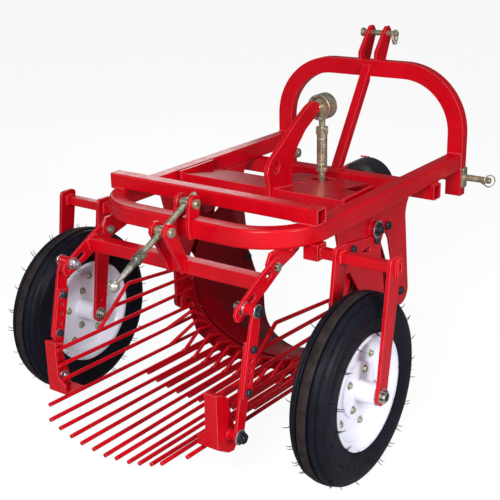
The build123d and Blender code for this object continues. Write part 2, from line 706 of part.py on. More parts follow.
rocker_core = Pos(0, *tube_mid) * Box(2 * tube_half, rocker_tube_size - 8, rocker_tube_size - 8)
rocker_tube -= rocker_core
rocker_frame = rocker_tube + rocker_arm + mirrored(rocker_arm)
save(rocker_frame, "rocker_frame")

bracket_points = [
    (-78, rail_bottom_z), (-93, rocker_pivot_z + 14), (-93, rocker_pivot_z - 8),
    (-84, rocker_pivot_z - 22), (-60, rocker_pivot_z - 25), (30, 600), (60, 612),
    (60, rail_bottom_z),
]
bracket = plate_x(bracket_points, bracket_x, bracket_thickness)
bracket += box_at(bracket_x, side_plate_outer_x - 1, -20, 60, rail_bottom_z - 6, rail_bottom_z)
bracket -= disc_x(rocker_pivot_y, rocker_pivot_z, 7.05, 250, 150)
save(Compound([bracket, mirrored(bracket)]), "rocker_brackets")

for side in (-1, 1):
    bolt = disc_x(rocker_pivot_y, rocker_pivot_z, 7, bracket_x - 12, 38)
    bolt += hex_x(rocker_pivot_y, rocker_pivot_z, 22, rocker_arm_x + rocker_arm_thickness + 1, 9)
    bolt += hex_x(rocker_pivot_y, rocker_pivot_z, 22, bracket_x - 10, 10)
    frame_bolts.append(bolt if side > 0 else mirrored(bolt))
save(Compound(frame_bolts), "frame_bolts")

# ================================================================ depth screw
def clevis_plates(points, pin_y, pin_z):
    """Two upright plates either side of the screw."""
    plates = []
    for start in (clevis_gap / 2, -clevis_gap / 2 - clevis_thickness):
        plate = plate_x(points, screw_x + start, clevis_thickness)
        plates.append(plate - disc_x(pin_y, pin_z, 9.05, screw_x - 60, 120))
    return plates


upper_points = [
    (rail_rear_y, rail_bottom_z + 4), (rail_rear_y, rail_top_z), (-76, rail_top_z + 6),
    (upper_trunnion_y + 22, upper_trunnion_z - 14), (upper_trunnion_y + 24, upper_trunnion_z + 6),
    (upper_trunnion_y + 16, upper_trunnion_z + 20), (upper_trunnion_y, upper_trunnion_z + 26),
    (upper_trunnion_y - 17, upper_trunnion_z + 19), (upper_trunnion_y - 24, upper_trunnion_z + 4),
    (-120, 706), (-122, 670), (-116, rail_bottom_z + 4),
]
save(Compound(clevis_plates(upper_points, upper_trunnion_y, upper_trunnion_z)), "upper_clevis")

tube_top_z = tube_mid[1] + rocker_tube_size / 2
tube_rear_y = tube_mid[0] - rocker_tube_size / 2
lower_points = [
    (tube_rear_y, tube_mid[1] - 18), (tube_rear_y, tube_top_z), (tube_rear_y + 16, tube_top_z),
    (lower_trunnion_y + 24, lower_trunnion_z - 10), (lower_trunnion_y + 22, lower_trunnion_z + 10),
    (lower_trunnion_y + 11, lower_trunnion_z + 22), (lower_trunnion_y - 6, lower_trunnion_z + 24),
    (lower_trunnion_y - 21, lower_trunnion_z + 14), (lower_trunnion_y - 25, lower_trunnion_z - 4),
    (tube_rear_y - 24, tube_mid[1] + 14), (tube_rear_y - 10, tube_mid[1] - 18),
]
save(Compound(clevis_plates(lower_points, lower_trunnion_y, lower_trunnion_z)), "lower_clevis")

screw_fall = atan2(upper_trunnion_z - lower_trunnion_z, upper_trunnion_y - lower_trunnion_y)


def along_screw(distance):
    """Point on the screw axis, measured from the upper trunnion to the rear."""
    return (
        screw_x,
        upper_trunnion_y - distance * cos(screw_fall),
        upper_trunnion_z - distance * sin(screw_fall),
    )


screw_dir = (0, -cos(screw_fall), -sin(screw_fall))


def screw_bar(start, length, radius, end_radius=None):
    """Round or tapered length of the screw."""
    base = Plane(origin=along_screw(start), z_dir=screw_dir)
    if end_radius is None:
        return base * Pos(0, 0, length / 2) * Cylinder(radius, length)
    return base * Pos(0, 0, length / 2) * Cone(radius, end_radius, length)


depth_screw = screw_bar(-40, 270, screw_radius)
with BuildPart() as collar:
    with BuildSketch(Plane(origin=along_screw(212), z_dir=screw_dir)):
        RegularPolygon(22, 6)
    extrude(amount=36)
depth_screw += collar.part
depth_screw += screw_bar(248, 82, 15, 9)
depth_screw += Pos(*along_screw(340)) * Sphere(17)
save(depth_screw, "depth_screw")

trunnion_length = clevis_gap - 2.0
upper_block = disc_x(upper_trunnion_y, upper_trunnion_z, 14, screw_x - trunnion_length / 2, trunnion_length)
upper_block += disc_x(upper_trunnion_y, upper_trunnion_z, 9, screw_x - 38, 76)
upper_block += disc_x(upper_trunnion_y, upper_trunnion_z, 14, screw_x + 28.5, 8)
upper_block -= screw_bar(-60, 120, screw_radius + 1.5)
save(upper_block, "upper_trunnion")
lower_block = disc_x(lower_trunnion_y, lower_trunnion_z, 14, screw_x - trunnion_length / 2, trunnion_length)
lower_block += disc_x(lower_trunnion_y, lower_trunnion_z, 9, screw_x - 38, 76)
lower_block += disc_x(lower_trunnion_y, lower_trunnion_z, 14, screw_x + 28.5, 8)
lower_block -= screw_bar(60, 120, screw_radius + 0.05)
save(lower_block, "lower_trunnion")

# ================================================================ hangers
hanger_top_y, hanger_top_z = on_arm(hanger_top_reach, 0)
fall_y = hanger_bottom_y - hanger_top_y
fall_z = hanger_bottom_z - hanger_top_z
hanger_length = sqrt(fall_y**2 + fall_z**2)
down = (fall_y / hanger_length, fall_z / hanger_length)
across = (-down[1], down[0])


def on_hanger(along, side):
    """(y, z) of a point on the hanger, measured from its top bolt."""
    return (
        hanger_top_y + along * down[0] + side * across[0],
        hanger_top_z + along * down[1] + side * across[1],
    )


half = hanger_width / 2
lap_top = 82.0
lap_bottom = 230.0
upper_bar = [on_hanger(0, -14), on_hanger(0, 14), on_hanger(40, half), on_hanger(lap_bottom, half),
             on_hanger(lap_bottom, -half), on_hanger(40, -half)]
hanger_upper = plate_x(upper_bar, hanger_upper_x, hanger_thickness)
bush_x = rocker_arm_x + rocker_arm_thickness + 5
hanger_upper += disc_x(hanger_top_y, hanger_top_z, hanger_bush_radius, bush_x, hanger_upper_x + hanger_thickness - bush_x)
hanger_upper -= disc_x(hanger_top_y, hanger_top_z, 8.05, 250, 150)
lap_holes = [on_hanger(100 + 29 * index, 0) for index in range(5)]
for hole in lap_holes:
    hanger_upper -= disc_x(*hole, 6.05, 250, 150)
lower_bar = [on_hanger(lap_top, -half), on_hanger(lap_top, half), on_hanger(hanger_length, half - 2),
             on_hanger(hanger_length + 14, 12), on_hanger(hanger_length + 18, 0),
             on_hanger(hanger_length + 14, -12), on_hanger(hanger_length, -half + 2)]
hanger_lower = plate_x(lower_bar, hanger_lower_x, hanger_thickness)
for hole in lap_holes:
    hanger_lower -= disc_x(*hole, 6.05, 250, 150)
hanger_lower -= disc_x(hanger_bottom_y, hanger_bottom_z, 8 + 3.5, 250, 150)
save(Compound([hanger_upper, mirrored(hanger_upper)]), "hanger_upper_bars")
save(Compound([hanger_lower, mirrored(hanger_lower)]), "hanger_lower_bars")

hanger_bolts = []
top_bolts = []
for side in (-1, 1):
    for hole in (lap_holes[0], lap_holes[4]):
        bolt = disc_x(*hole, 6, hanger_lower_x - 12, 38)
        bolt += hex_x(*hole, 19, hanger_upper_x + hanger_thickness, 8)
        bolt += hex_x(*hole, 19, hanger_lower_x - 9, 9)
        hanger_bolts.append(bolt if side > 0 else mirrored(bolt))
    bolt = disc_x(hanger_top_y, hanger_top_z, 8, rocker_arm_x - 22, 84)
    bolt += hex_x(hanger_top_y, hanger_top_z, 26, hanger_upper_x + hanger_thickness + 3, 11)
    bolt += hex_x(hanger_top_y, hanger_top_z, 26, rocker_arm_x - 16, 12)
    bolt += disc_x(hanger_top_y, hanger_top_z, 15, rocker_arm_x - 4, 4)
    bolt += disc_x(hanger_top_y, hanger_top_z, 15, rocker_arm_x + rocker_arm_thickness, 4.5)
    top_bolts.append(bolt if side > 0 else mirrored(bolt))
save(Compound(hanger_bolts), "hanger_bolts")
save(Compound(top_bolts), "hanger_top_bolts")

# ================================================================ riddle
def share_floor(x):
    """Height of the share's section at a distance from the middle."""
    return share_section_z - share_depth * sqrt(1 - (x / (share_half_width + 2)) ** 2)


def line_z(y, y0, z0, y1, z1):
    """Height at y on the straight line between two points."""
    return z0 + (z1 - z0) * (y - y0) / (y1 - y0)


# place across as a share of the share's half width, heights at the arc and at the free end
floor_rods = [
    # across, front_z, rear_z, bend_z
    (0.000, 100.0, 112.0, 139.0),
    (0.145, 100.0, 117.0, 141.0),
    (0.300, 101.0, 121.0, 147.0),
    (0.434, 108.0, 130.0, 153.0),
    (0.579, 113.0, 142.0, 165.0),
    (0.707, 131.0, 157.0, 184.0),
]
rods = []
for across, front_z, rear_z, bend_z in floor_rods:
    x = across * share_half_width
    rod = round_rod([(x, arc_rear_y, front_z), (x, rod_rear_y, rear_z)], rod_radius)
    under_z = line_z(doubler_rear_y, arc_rear_y, front_z, rod_rear_y, rear_z) - weld_step
    rod += round_rod([(x, arc_rear_y, front_z - weld_step), (x, doubler_rear_y, under_z)], rod_radius)
    foot_z = line_z(hook_foot_y, arc_rear_y, front_z, rod_rear_y, rear_z)
    hook = [
        (x, arc_rear_y, share_floor(x) - 1.5),
        (x, hook_bend_y, bend_z),
        (x, hook_foot_y, foot_z),
    ]
    rod += round_rod(hook, rod_radius, 12.0)
    rods.append(rod)
    if x > 0:
        rods.append(mirrored(rod))

# rod that carries the brackets' lower tabs, with its hook
tab_rod = round_rod([(tab_rod_x, arc_rear_y, 144), (tab_rod_x, tab_rod_rear_y, 170)], rod_radius)
hook = [(tab_rod_x - 39, arc_rear_y, 181), (tab_rod_x - 39, hook_bend_y, 213), (tab_rod_x, 130, 149)]
tab_rod += round_rod(hook, rod_radius, 12.0)
rods += [tab_rod, mirrored(tab_rod)]

# side rods between the arc and the brackets' rear flanges
flange_y = flange_front_y
low_side = round_rod([(side_rod_x, arc_rear_y, 193), (side_rod_x, flange_y, 211)], rod_radius)
hook = [(side_rod_x - 50, arc_rear_y, 205), (side_rod_x - 42, hook_bend_y, 243), (side_rod_x, 146, 197)]
low_side += round_rod(hook, rod_radius, 12.0)
middle_side = round_rod([(side_rod_x, arc_rear_y, 236), (side_rod_x, flange_y, 260)], rod_radius)
top_side = round_rod([(side_rod_x, arc_rear_y, 296), (side_rod_x, flange_y, 310)], rod_radius)
rail = [(side_rod_x, arc_rear_y, 380), (side_rod_x, -24, 414), (side_rod_x, -165, 306)]
top_side += round_rod(rail, rod_radius, 16.0)
top_side += round_rod([(side_rod_x, arc_rear_y, 345), (side_rod_x, -92, 362)], rod_radius)
for rod in (low_side, middle_side, top_side):
    rods += [rod, mirrored(rod)]
past_arc = box_at(-400, 400, arc_rear_y, 400, 0, 500)
past_flange = box_at(side_rod_x - 10, 400, flange_front_y - 60, flange_front_y, 190, 400)
rods = [rod - past_arc - past_flange - mirrored(past_flange) for rod in rods]
save(Compound(rods), "riddle_rods")

arc_outline = [
    (130, arc_floor_z), (182, arc_floor_z + 11), (264, 138), (arc_outer_half, 228),
    (arc_outer_half, arc_ear_top_z), (arc_inner_half, arc_ear_top_z),
]
with BuildPart() as riddle_arc:
    with BuildSketch(Plane((0, arc_front_y, 0), x_dir=(1, 0, 0), z_dir=(0, -1, 0))):
        with BuildLine():
            Polyline(*[(-x, z) for x, z in reversed(arc_outline)], *arc_outline)
            Line((arc_inner_half, arc_ear_top_z), (arc_inner_half, share_section_z))
            EllipticalCenterArc(
                (0, share_section_z), arc_inner_half, arc_inner_depth, start_angle=180, arc_size=180
            )
            Line((-arc_inner_half, share_section_z), (-arc_inner_half, arc_ear_top_z))
        make_face()
    extrude(amount=arc_thickness)
save(riddle_arc.part, "riddle_arc")

lug_points = [
    (arc_rear_y, 230), (arc_rear_y, 300), (250, 296), (236, 270), (236, 240), (252, 226),
]
lug_x_start = side_rod_x + rod_radius + 1.5
riddle_lug = plate_x(lug_points, lug_x_start, 8)
riddle_lug -= disc_x(riddle_pin_y, riddle_pin_z, riddle_pin_radius + 0.05, 250, 150)
save(Compound([riddle_lug, mirrored(riddle_lug)]), "riddle_lugs")

pins = []
for side in (-1, 1):
    pin = disc_x(riddle_pin_y, riddle_pin_z, riddle_pin_radius, lug_x_start - 0.8, 36.5)
    pin += disc_x(riddle_pin_y, riddle_pin_z, 30, shaker_side_outer_x + 1, 11)
    pin += hex_x(riddle_pin_y, riddle_pin_z, 24, shaker_side_outer_x + 12, 10)
    pin += disc_x(riddle_pin_y, riddle_pin_z, 13, lug_x_start + 8.5, 9)
    pins.append(pin if side > 0 else mirrored(pin))
save(Compound(pins), "riddle_pins")

plate_rear_y = flange_front_y - riddle_bracket_thickness
bracket_outline = [
    (plate_rear_y, 336), (-316, 328), (-300, 316), (-268, 205), (-266, 160), (-276, 148),
    (-300, 152), (plate_rear_y, 180),
]
bracket_inner_x = riddle_bracket_x
bracket_outer_x = riddle_bracket_x + riddle_bracket_thickness
riddle_bracket = plate_x(bracket_outline, bracket_inner_x, riddle_bracket_thickness)
rear_flange = [
    (bracket_outer_x, 180), (bracket_outer_x, 336), (side_rod_x - 4, 336), (side_rod_x - 5, 225),
    (flange_inner_x - 6, 206), (flange_inner_x - 6, 180),
]
with BuildPart() as flange:
    with BuildSketch(Plane((0, flange_front_y, 0), x_dir=(1, 0, 0), z_dir=(0, -1, 0))):
        with BuildLine():
            Polyline(*rear_flange, close=True)
        make_face()
    extrude(amount=riddle_bracket_thickness)
riddle_bracket += flange.part
top_lip = [(plate_rear_y, 336), (-316, 328), (-316, 321), (plate_rear_y, 329)]
riddle_bracket += plate_x(top_lip, side_rod_x - 8, bracket_inner_x - side_rod_x + 8)
foot_z = line_z(-296, arc_rear_y, 144, tab_rod_rear_y, 170) + rod_radius - 1.5
foot_tab = [(-330, foot_z + 9), (-268, foot_z + 5), (-268, foot_z - 3), (-330, foot_z + 1)]
tab_width = bracket_inner_x - tab_rod_x + 4
riddle_bracket += plate_x(foot_tab, tab_rod_x - 4, tab_width)
for rod in (tab_rod, low_side):
    riddle_bracket -= rod
rear_bush_length = hanger_lower_x - 0.5 - bracket_outer_x
riddle_bracket += disc_x(hanger_bottom_y, hanger_bottom_z, 15, bracket_outer_x, rear_bush_length)
riddle_bracket -= disc_x(hanger_bottom_y, hanger_bottom_z, 8.02, 250, 150)
save(Compound([riddle_bracket, mirrored(riddle_bracket)]), "riddle_brackets")

rear_head_x = hanger_lower_x + hanger_thickness + 3
rear_bolts = []
for side in (-1, 1):
    bolt = disc_x(hanger_bottom_y, hanger_bottom_z, 8, bracket_inner_x - 12, 72)
    bolt += hex_x(hanger_bottom_y, hanger_bottom_z, 26, rear_head_x + 4, 10)
    bolt += disc_x(hanger_bottom_y, hanger_bottom_z, 17, rear_head_x, 4)
    bolt += hex_x(hanger_bottom_y, hanger_bottom_z, 22, bracket_inner_x - 12, 12)
    rear_bolts.append(bolt if side > 0 else mirrored(bolt))
save(Compound(rear_bolts), "riddle_rear_bolts")

# ================================================================ wheels
half_w = tyre_width / 2
with BuildPart() as tyre:
    with BuildSketch(Plane.XZ):
        with BuildLine():
            Polyline(
                (wheel_x - 36, 151), (wheel_x - 42, 157), (wheel_x - 43, 168), (wheel_x - half_w + 3, 195),
                (wheel_x - half_w, 222), (wheel_x - half_w + 6, 246), (wheel_x - 36, 258),
                (wheel_x - 30, 262), (wheel_x - 26, 255), (wheel_x - 20, 255),
                (wheel_x - 14, tyre_radius), (wheel_x + 14, tyre_radius), (wheel_x + 20, 255),
                (wheel_x + 26, 255), (wheel_x + 30, 262), (wheel_x + 36, 258),
                (wheel_x + half_w - 6, 246), (wheel_x + half_w, 222), (wheel_x + half_w - 3, 195),
                (wheel_x + 43, 168), (wheel_x + 42, 157), (wheel_x + 36, 151), (wheel_x + 31, 160),
                (wheel_x + 42, 195), (wheel_x + 44, 222), (wheel_x + 34, 240),
                (wheel_x, 246), (wheel_x - 34, 240), (wheel_x - 44, 222), (wheel_x - 42, 195),
                (wheel_x - 31, 160), close=True,
            )
        make_face()
    revolve(axis=Axis.X)
tyre_body = Pos(0, 0, axle_z) * tyre.part
save(tyre_body, "tyre_right")
save(mirrored(tyre_body), "tyre_left")

with BuildPart() as rim:
    with BuildSketch(Plane.XZ):
        with BuildLine():
            Polyline(
                (wheel_x - 43.5, 165), (wheel_x - 42.6, 156.6), (wheel_x - 36, 150.4), (wheel_x - 30, 146),
                (wheel_x + 30, 146), (wheel_x + 36, 150.4), (wheel_x + 42.6, 156.6), (wheel_x + 43.5, 165),
                (wheel_x + 47, 165), (wheel_x + 46, 155), (wheel_x + 38, 147), (wheel_x + 31, 142),
                (wheel_x + 22, 140), (wheel_x + 13, 134), (wheel_x + 7, 126), (wheel_x + 4, 116),
                (wheel_x + 4, 80), (wheel_x + 14, 79), (wheel_x + 14, 30), (wheel_x + 73, 30),
                (wheel_x + 73, 11), (wheel_x - 74, 11), (wheel_x - 74, 30), (wheel_x - 2, 30),
                (wheel_x - 2, 116), (wheel_x - 5, 126), (wheel_x - 11, 134), (wheel_x - 20, 140),
                (wheel_x - 31, 142), (wheel_x - 38, 147), (wheel_x - 46, 155),
                (wheel_x - 47, 165), close=True,
            )
        make_face()
    revolve(axis=Axis.X)
rim_body = Pos(0, 0, axle_z) * rim.part
save(rim_body, "rim_right")
save(mirrored(rim_body), "rim_left")

# ================================================================ wheel forks
fork_sleeve_y = rear_tube_y
fork_sleeve_z = rail_bottom_z - fork_sleeve_size
fork_sleeve_end_x = frame_half_width + 4.0
crossbar_y = fork_sleeve_y + 12.0
crossbar_z = fork_sleeve_z + 5.0
leg_top_z = 646.0
lean = (fork_top_y - 0.0) / (leg_top_z - axle_z)
leg_half = fork_bar_width / 2


def fork_leg(x_start):
    """Flat leg leaning forward from the axle to the crossbar."""
    points = [
        (-24, axle_z - 6), (-21, axle_z - 16), (-12, axle_z - 25), (0, axle_z - 28),
        (12, axle_z - 25), (21, axle_z - 16), (24, axle_z - 6),
        (fork_top_y + leg_half, leg_top_z - 12), (fork_top_y + leg_half - 4, leg_top_z - 3),
        (fork_top_y + leg_half - 12, leg_top_z), (fork_top_y - leg_half + 12, leg_top_z),
        (fork_top_y - leg_half + 4, leg_top_z - 3), (fork_top_y - leg_half, leg_top_z - 12),
    ]
    leg = plate_x(points, x_start, fork_bar_thickness)
    leg -= disc_x(lean * 46, axle_z + 46, 5, x_start - 5, 30)
    return leg - disc_x(0, axle_z, axle_radius + 0.05, x_start - 5, 30)


crossbar = box_at(
    fork_sleeve_end_x - 4, fork_outer_x, crossbar_y, crossbar_y + crossbar_size,
    crossbar_z, crossbar_z + crossbar_size,
)
crossbar = fillet(crossbar.edges().filter_by(Axis.X), 3)
crossbar += box_at(
    side_plate_outer_x, fork_sleeve_end_x, fork_sleeve_y, fork_sleeve_y + fork_sleeve_size,
    fork_sleeve_z, rail_bottom_z,
)
crossbar -= box_at(
    side_plate_outer_x - 1, fork_sleeve_end_x - 4, fork_sleeve_y + tube_wall,
    fork_sleeve_y + fork_sleeve_size - tube_wall, fork_sleeve_z + tube_wall, rail_bottom_z - tube_wall,
)
boss_x = fork_outer_x + fork_bar_thickness
boss_y = crossbar_y + crossbar_size / 2 + 6
boss_z = crossbar_z + crossbar_size / 2
boss = box_at(boss_x, boss_x + 7, boss_y - 14, boss_y + 14, boss_z - 25, boss_z + 25)
boss = fillet(boss.edges().filter_by(Axis.X), 4)
boss -= box_at(boss_x - 1, boss_x + 8, boss_y - 6, boss_y + 6, boss_z - 11, boss_z + 11)
fork = crossbar + fork_leg(fork_outer_x) + fork_leg(fork_inner_x) + boss
save(Compound([fork, mirrored(fork)]), "wheel_forks")

axle = disc_x(0, axle_z, axle_radius, fork_inner_x - 14, fork_outer_x + fork_bar_thickness + 14 - fork_inner_x + 14)
axle += hex_x(0, axle_z, 30, fork_outer_x + fork_bar_thickness, 12)
axle += hex_x(0, axle_z, 30, fork_inner_x - 12, 12)
save(Compound([axle, mirrored(axle)]), "axles")
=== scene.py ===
# %% [markdown]
# # A potato digger, dressed in Blender
# A small tractor pulls this machine along one ridge of potatoes. A trough-shaped
# share cuts under the ridge, and a shaken grid of rods behind it, the riddle,
# lets the soil fall and keeps the crop. Every main form comes from the packed
# solids. This notebook adds the finishes, the tyres' rubber, the heads and nuts of
# the bolts, the welds and the turned forms of the screw and the rod.

# %% Load the frame
import json
import math
import random

import bmesh
import bpy
from mathutils import Matrix, Vector


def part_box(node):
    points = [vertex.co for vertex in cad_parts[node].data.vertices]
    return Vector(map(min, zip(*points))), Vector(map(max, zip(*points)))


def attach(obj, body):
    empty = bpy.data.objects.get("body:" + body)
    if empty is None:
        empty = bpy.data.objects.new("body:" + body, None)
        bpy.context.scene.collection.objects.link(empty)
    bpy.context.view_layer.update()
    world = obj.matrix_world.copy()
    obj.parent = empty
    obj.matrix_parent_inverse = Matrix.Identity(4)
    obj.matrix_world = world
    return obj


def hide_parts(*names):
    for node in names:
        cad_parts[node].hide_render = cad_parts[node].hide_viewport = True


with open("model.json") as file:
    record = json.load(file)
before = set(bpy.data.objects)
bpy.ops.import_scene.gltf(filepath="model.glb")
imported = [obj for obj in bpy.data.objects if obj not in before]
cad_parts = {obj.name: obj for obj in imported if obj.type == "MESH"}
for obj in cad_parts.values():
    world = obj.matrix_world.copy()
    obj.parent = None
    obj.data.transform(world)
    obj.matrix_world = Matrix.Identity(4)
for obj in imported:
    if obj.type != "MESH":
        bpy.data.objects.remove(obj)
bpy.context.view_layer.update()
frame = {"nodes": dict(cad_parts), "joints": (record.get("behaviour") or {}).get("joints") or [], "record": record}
nodes = frame["nodes"]
record = frame["record"]
scene = bpy.context.scene


# %% [markdown]
# Positions are read from the frame, so a change in the solids moves the details
# too. A hinge's anchor says where its axle is, which is the best landmark on a
# machine, because a maker measures everything from the axles as well.

# %% Landmarks
def anchor(joint_name):
    """The point in the row frame that a joint turns about."""
    for joint in frame["joints"]:
        if joint["name"] == joint_name:
            return Vector(joint["pos_m"])
    raise ValueError(joint_name)


WHEEL_RIGHT = anchor("wheel_right_spin")
AXLE_Y, AXLE_Z = WHEEL_RIGHT.y, WHEEL_RIGHT.z
WHEEL_X = WHEEL_RIGHT.x
SIDES = ((1, "right"), (-1, "left"))
print("axle at", round(AXLE_Y, 4), round(AXLE_Z, 4), "tyre middle at", round(WHEEL_X, 4))


def from_axle(x, y, z):
    """A point given in millimetres, with y counted forward from the wheels' axle."""
    return Vector((x / 1000, AXLE_Y + y / 1000, z / 1000))


# %% [markdown]
# ## Shared shader effects
# Sprayed paint, plated bolts and rubber all vary a little from place to place.
# One small node group makes that slow change, another the fine bump of a
# sprayed or cast surface, and a third the softened edge that catches the light,
# with the mask of the edges where the finishes paint a lighter tone as a painted highlight.
# A group is built once and placed in each material with its own numbers.

# %% Node helpers
def new_group(name, inputs, outputs):
    """An empty shader group with named sockets; inputs are (name, kind, default)."""
    tree = bpy.data.node_groups.new(name, "ShaderNodeTree")
    for label, kind, default in inputs:
        socket = tree.interface.new_socket(label, in_out="INPUT", socket_type=kind)
        if default is not None:
            socket.default_value = default
    for label, kind in outputs:
        tree.interface.new_socket(label, in_out="OUTPUT", socket_type=kind)
    return tree, tree.nodes.new("NodeGroupInput"), tree.nodes.new("NodeGroupOutput")


def add_node(tree, kind, settings=None, **values):
    """A node with its settings and input defaults in one call."""
    node = tree.nodes.new(kind)
    for key, value in (settings or {}).items():
        setattr(node, key, value)
    for key, value in values.items():
        node.inputs[key.replace("_", " ")].default_value = value
    return node


def wire(tree, *links):
    """Links in a tree, each given as (node, output, node, input)."""
    for node, output, other, socket in links:
        tree.links.new(node.outputs[output], other.inputs[socket])


# %% Slow change over a surface
patches, g_in, g_out = new_group(
    "slow patches",
    [
        ("Size", "NodeSocketFloat", 8.0),
        ("Low", "NodeSocketFloat", 0.0),
        ("High", "NodeSocketFloat", 1.0),
    ],
    [("Value", "NodeSocketFloat")],
)
where = patches.nodes.new("ShaderNodeTexCoord")
cloud = add_node(patches, "ShaderNodeTexNoise", Detail=4.0, Roughness=0.6)
spread = add_node(patches, "ShaderNodeMapRange", From_Min=0.32, From_Max=0.68)
wire(
    patches,
    (where, "Object", cloud, "Vector"),
    (g_in, "Size", cloud, "Scale"),
    (cloud, "Fac", spread, "Value"),
    (g_in, "Low", spread, "To Min"),
    (g_in, "High", spread, "To Max"),
    (spread, "Result", g_out, "Value"),
)

# %% Fine bump of sprayed or cast surfaces
peel, g_in, g_out = new_group(
    "fine skin",
    [
        ("Grain", "NodeSocketFloat", 300.0),
        ("Ripple", "NodeSocketFloat", 60.0),
        ("Share", "NodeSocketFloat", 0.5),
    ],
    [("Height", "NodeSocketFloat")],
)
where = peel.nodes.new("ShaderNodeTexCoord")
fine = add_node(peel, "ShaderNodeTexNoise", Detail=2.0)
wide = add_node(peel, "ShaderNodeTexNoise", Detail=1.0)
blend = add_node(peel, "ShaderNodeMix", {"data_type": "FLOAT"})
for socket, node in (("Grain", fine), ("Ripple", wide)):
    wire(
        peel,
        (where, "Object", node, "Vector"),
        (g_in, socket, node, "Scale"),
    )
wire(
    peel,
    (g_in, "Share", blend, "Factor"),
    (fine, "Fac", blend, "A"),
    (wide, "Fac", blend, "B"),
    (blend, "Result", g_out, "Height"),
)

# %% Softened edges
soft_edge, g_in, g_out = new_group(
    "softened edge",
    [("Radius", "NodeSocketFloat", 0.002)],
    [("Normal", "NodeSocketVector"), ("Edge", "NodeSocketFloat")],
)
rounder = add_node(soft_edge, "ShaderNodeBevel", {"samples": 6})
shape = soft_edge.nodes.new("ShaderNodeNewGeometry")
likeness = add_node(soft_edge, "ShaderNodeVectorMath", {"operation": "DOT_PRODUCT"})
# the mask is the likeness of the bevelled and the flat normal: 1 in a face, less on an edge
# the finishes paint a highlight of a lighter tone along the edges by this mask
edge_mask = add_node(
    soft_edge, "ShaderNodeMapRange", From_Min=0.995, From_Max=0.86, To_Min=0.0, To_Max=1.0
)
wire(
    soft_edge,
    (g_in, "Radius", rounder, "Radius"),
    (rounder, "Normal", likeness, 0),
    (shape, "Normal", likeness, 1),
    (likeness, "Value", edge_mask, "Value"),
    (edge_mask, "Result", g_out, "Edge"),
    (rounder, "Normal", g_out, "Normal"),
)
print("shader groups:", [g.name for g in bpy.data.node_groups])


# %% [markdown]
# ## Finishes
# A finish here is one function, because paint, plate and rubber need the same
# wiring: two colours blended by slow patches, a painted highlight of a lighter tone
# on the edges, a roughness that wanders, and a fine bump over the softened edges.
# What differs between finishes is only the numbers in the table.

# %% One function for every finish
def finish(name, dark, light, edge, rough, metallic=0.0, coat=0.0, coat_rough=0.1,
           patch=7.0, grain=400.0, ripple=70.0, bump=0.05, edge_radius=0.0016,
           highlight_share=0.5, specular=0.5):
    """A procedural material; colours are linear RGB, rough is a (low, high) pair; the edge colour is a painted
    highlight.
    """
    material = bpy.data.materials.new(name)
    material.use_nodes = True
    tree = material.node_tree
    surface = tree.nodes["Principled BSDF"]
    surface.inputs["Metallic"].default_value = metallic
    surface.inputs["Coat Weight"].default_value = coat
    surface.inputs["Coat Roughness"].default_value = coat_rough
    surface.inputs["Specular IOR Level"].default_value = specular
    tone = add_node(tree, "ShaderNodeGroup", {"node_tree": patches}, Size=patch)
    colour = add_node(tree, "ShaderNodeMix", {"data_type": "RGBA"})
    colour.inputs["A"].default_value = (*dark, 1)
    colour.inputs["B"].default_value = (*light, 1)
    rounding = add_node(
        tree, "ShaderNodeGroup", {"node_tree": soft_edge}, Radius=edge_radius
    )
    # a lighter edge colour laid on by the edge mask: a painted highlight on the softened edges
    share = add_node(tree, "ShaderNodeMath", {"operation": "MULTIPLY"})
    share.inputs[1].default_value = highlight_share
    highlight_tone = add_node(tree, "ShaderNodeMix", {"data_type": "RGBA"})
    highlight_tone.inputs["B"].default_value = (*edge, 1)
    wander = add_node(
        tree, "ShaderNodeGroup", {"node_tree": patches},
        Size=patch * 3, Low=rough[0], High=rough[1],
    )
    skin = add_node(tree, "ShaderNodeGroup", {"node_tree": peel}, Grain=grain, Ripple=ripple)
    relief = add_node(tree, "ShaderNodeBump", Strength=bump, Distance=0.002)
    wire(
        tree,
        (tone, "Value", colour, "Factor"),
        (rounding, "Edge", share, 0),
        (share, "Value", highlight_tone, "Factor"),
        (colour, "Result", highlight_tone, "A"),
        (highlight_tone, "Result", surface, "Base Color"),
        (wander, "Value", surface, "Roughness"),
        (skin, "Height", relief, "Height"),
        (rounding, "Normal", relief, "Normal"),
        (relief, "Normal", surface, "Normal"),
    )
    return material
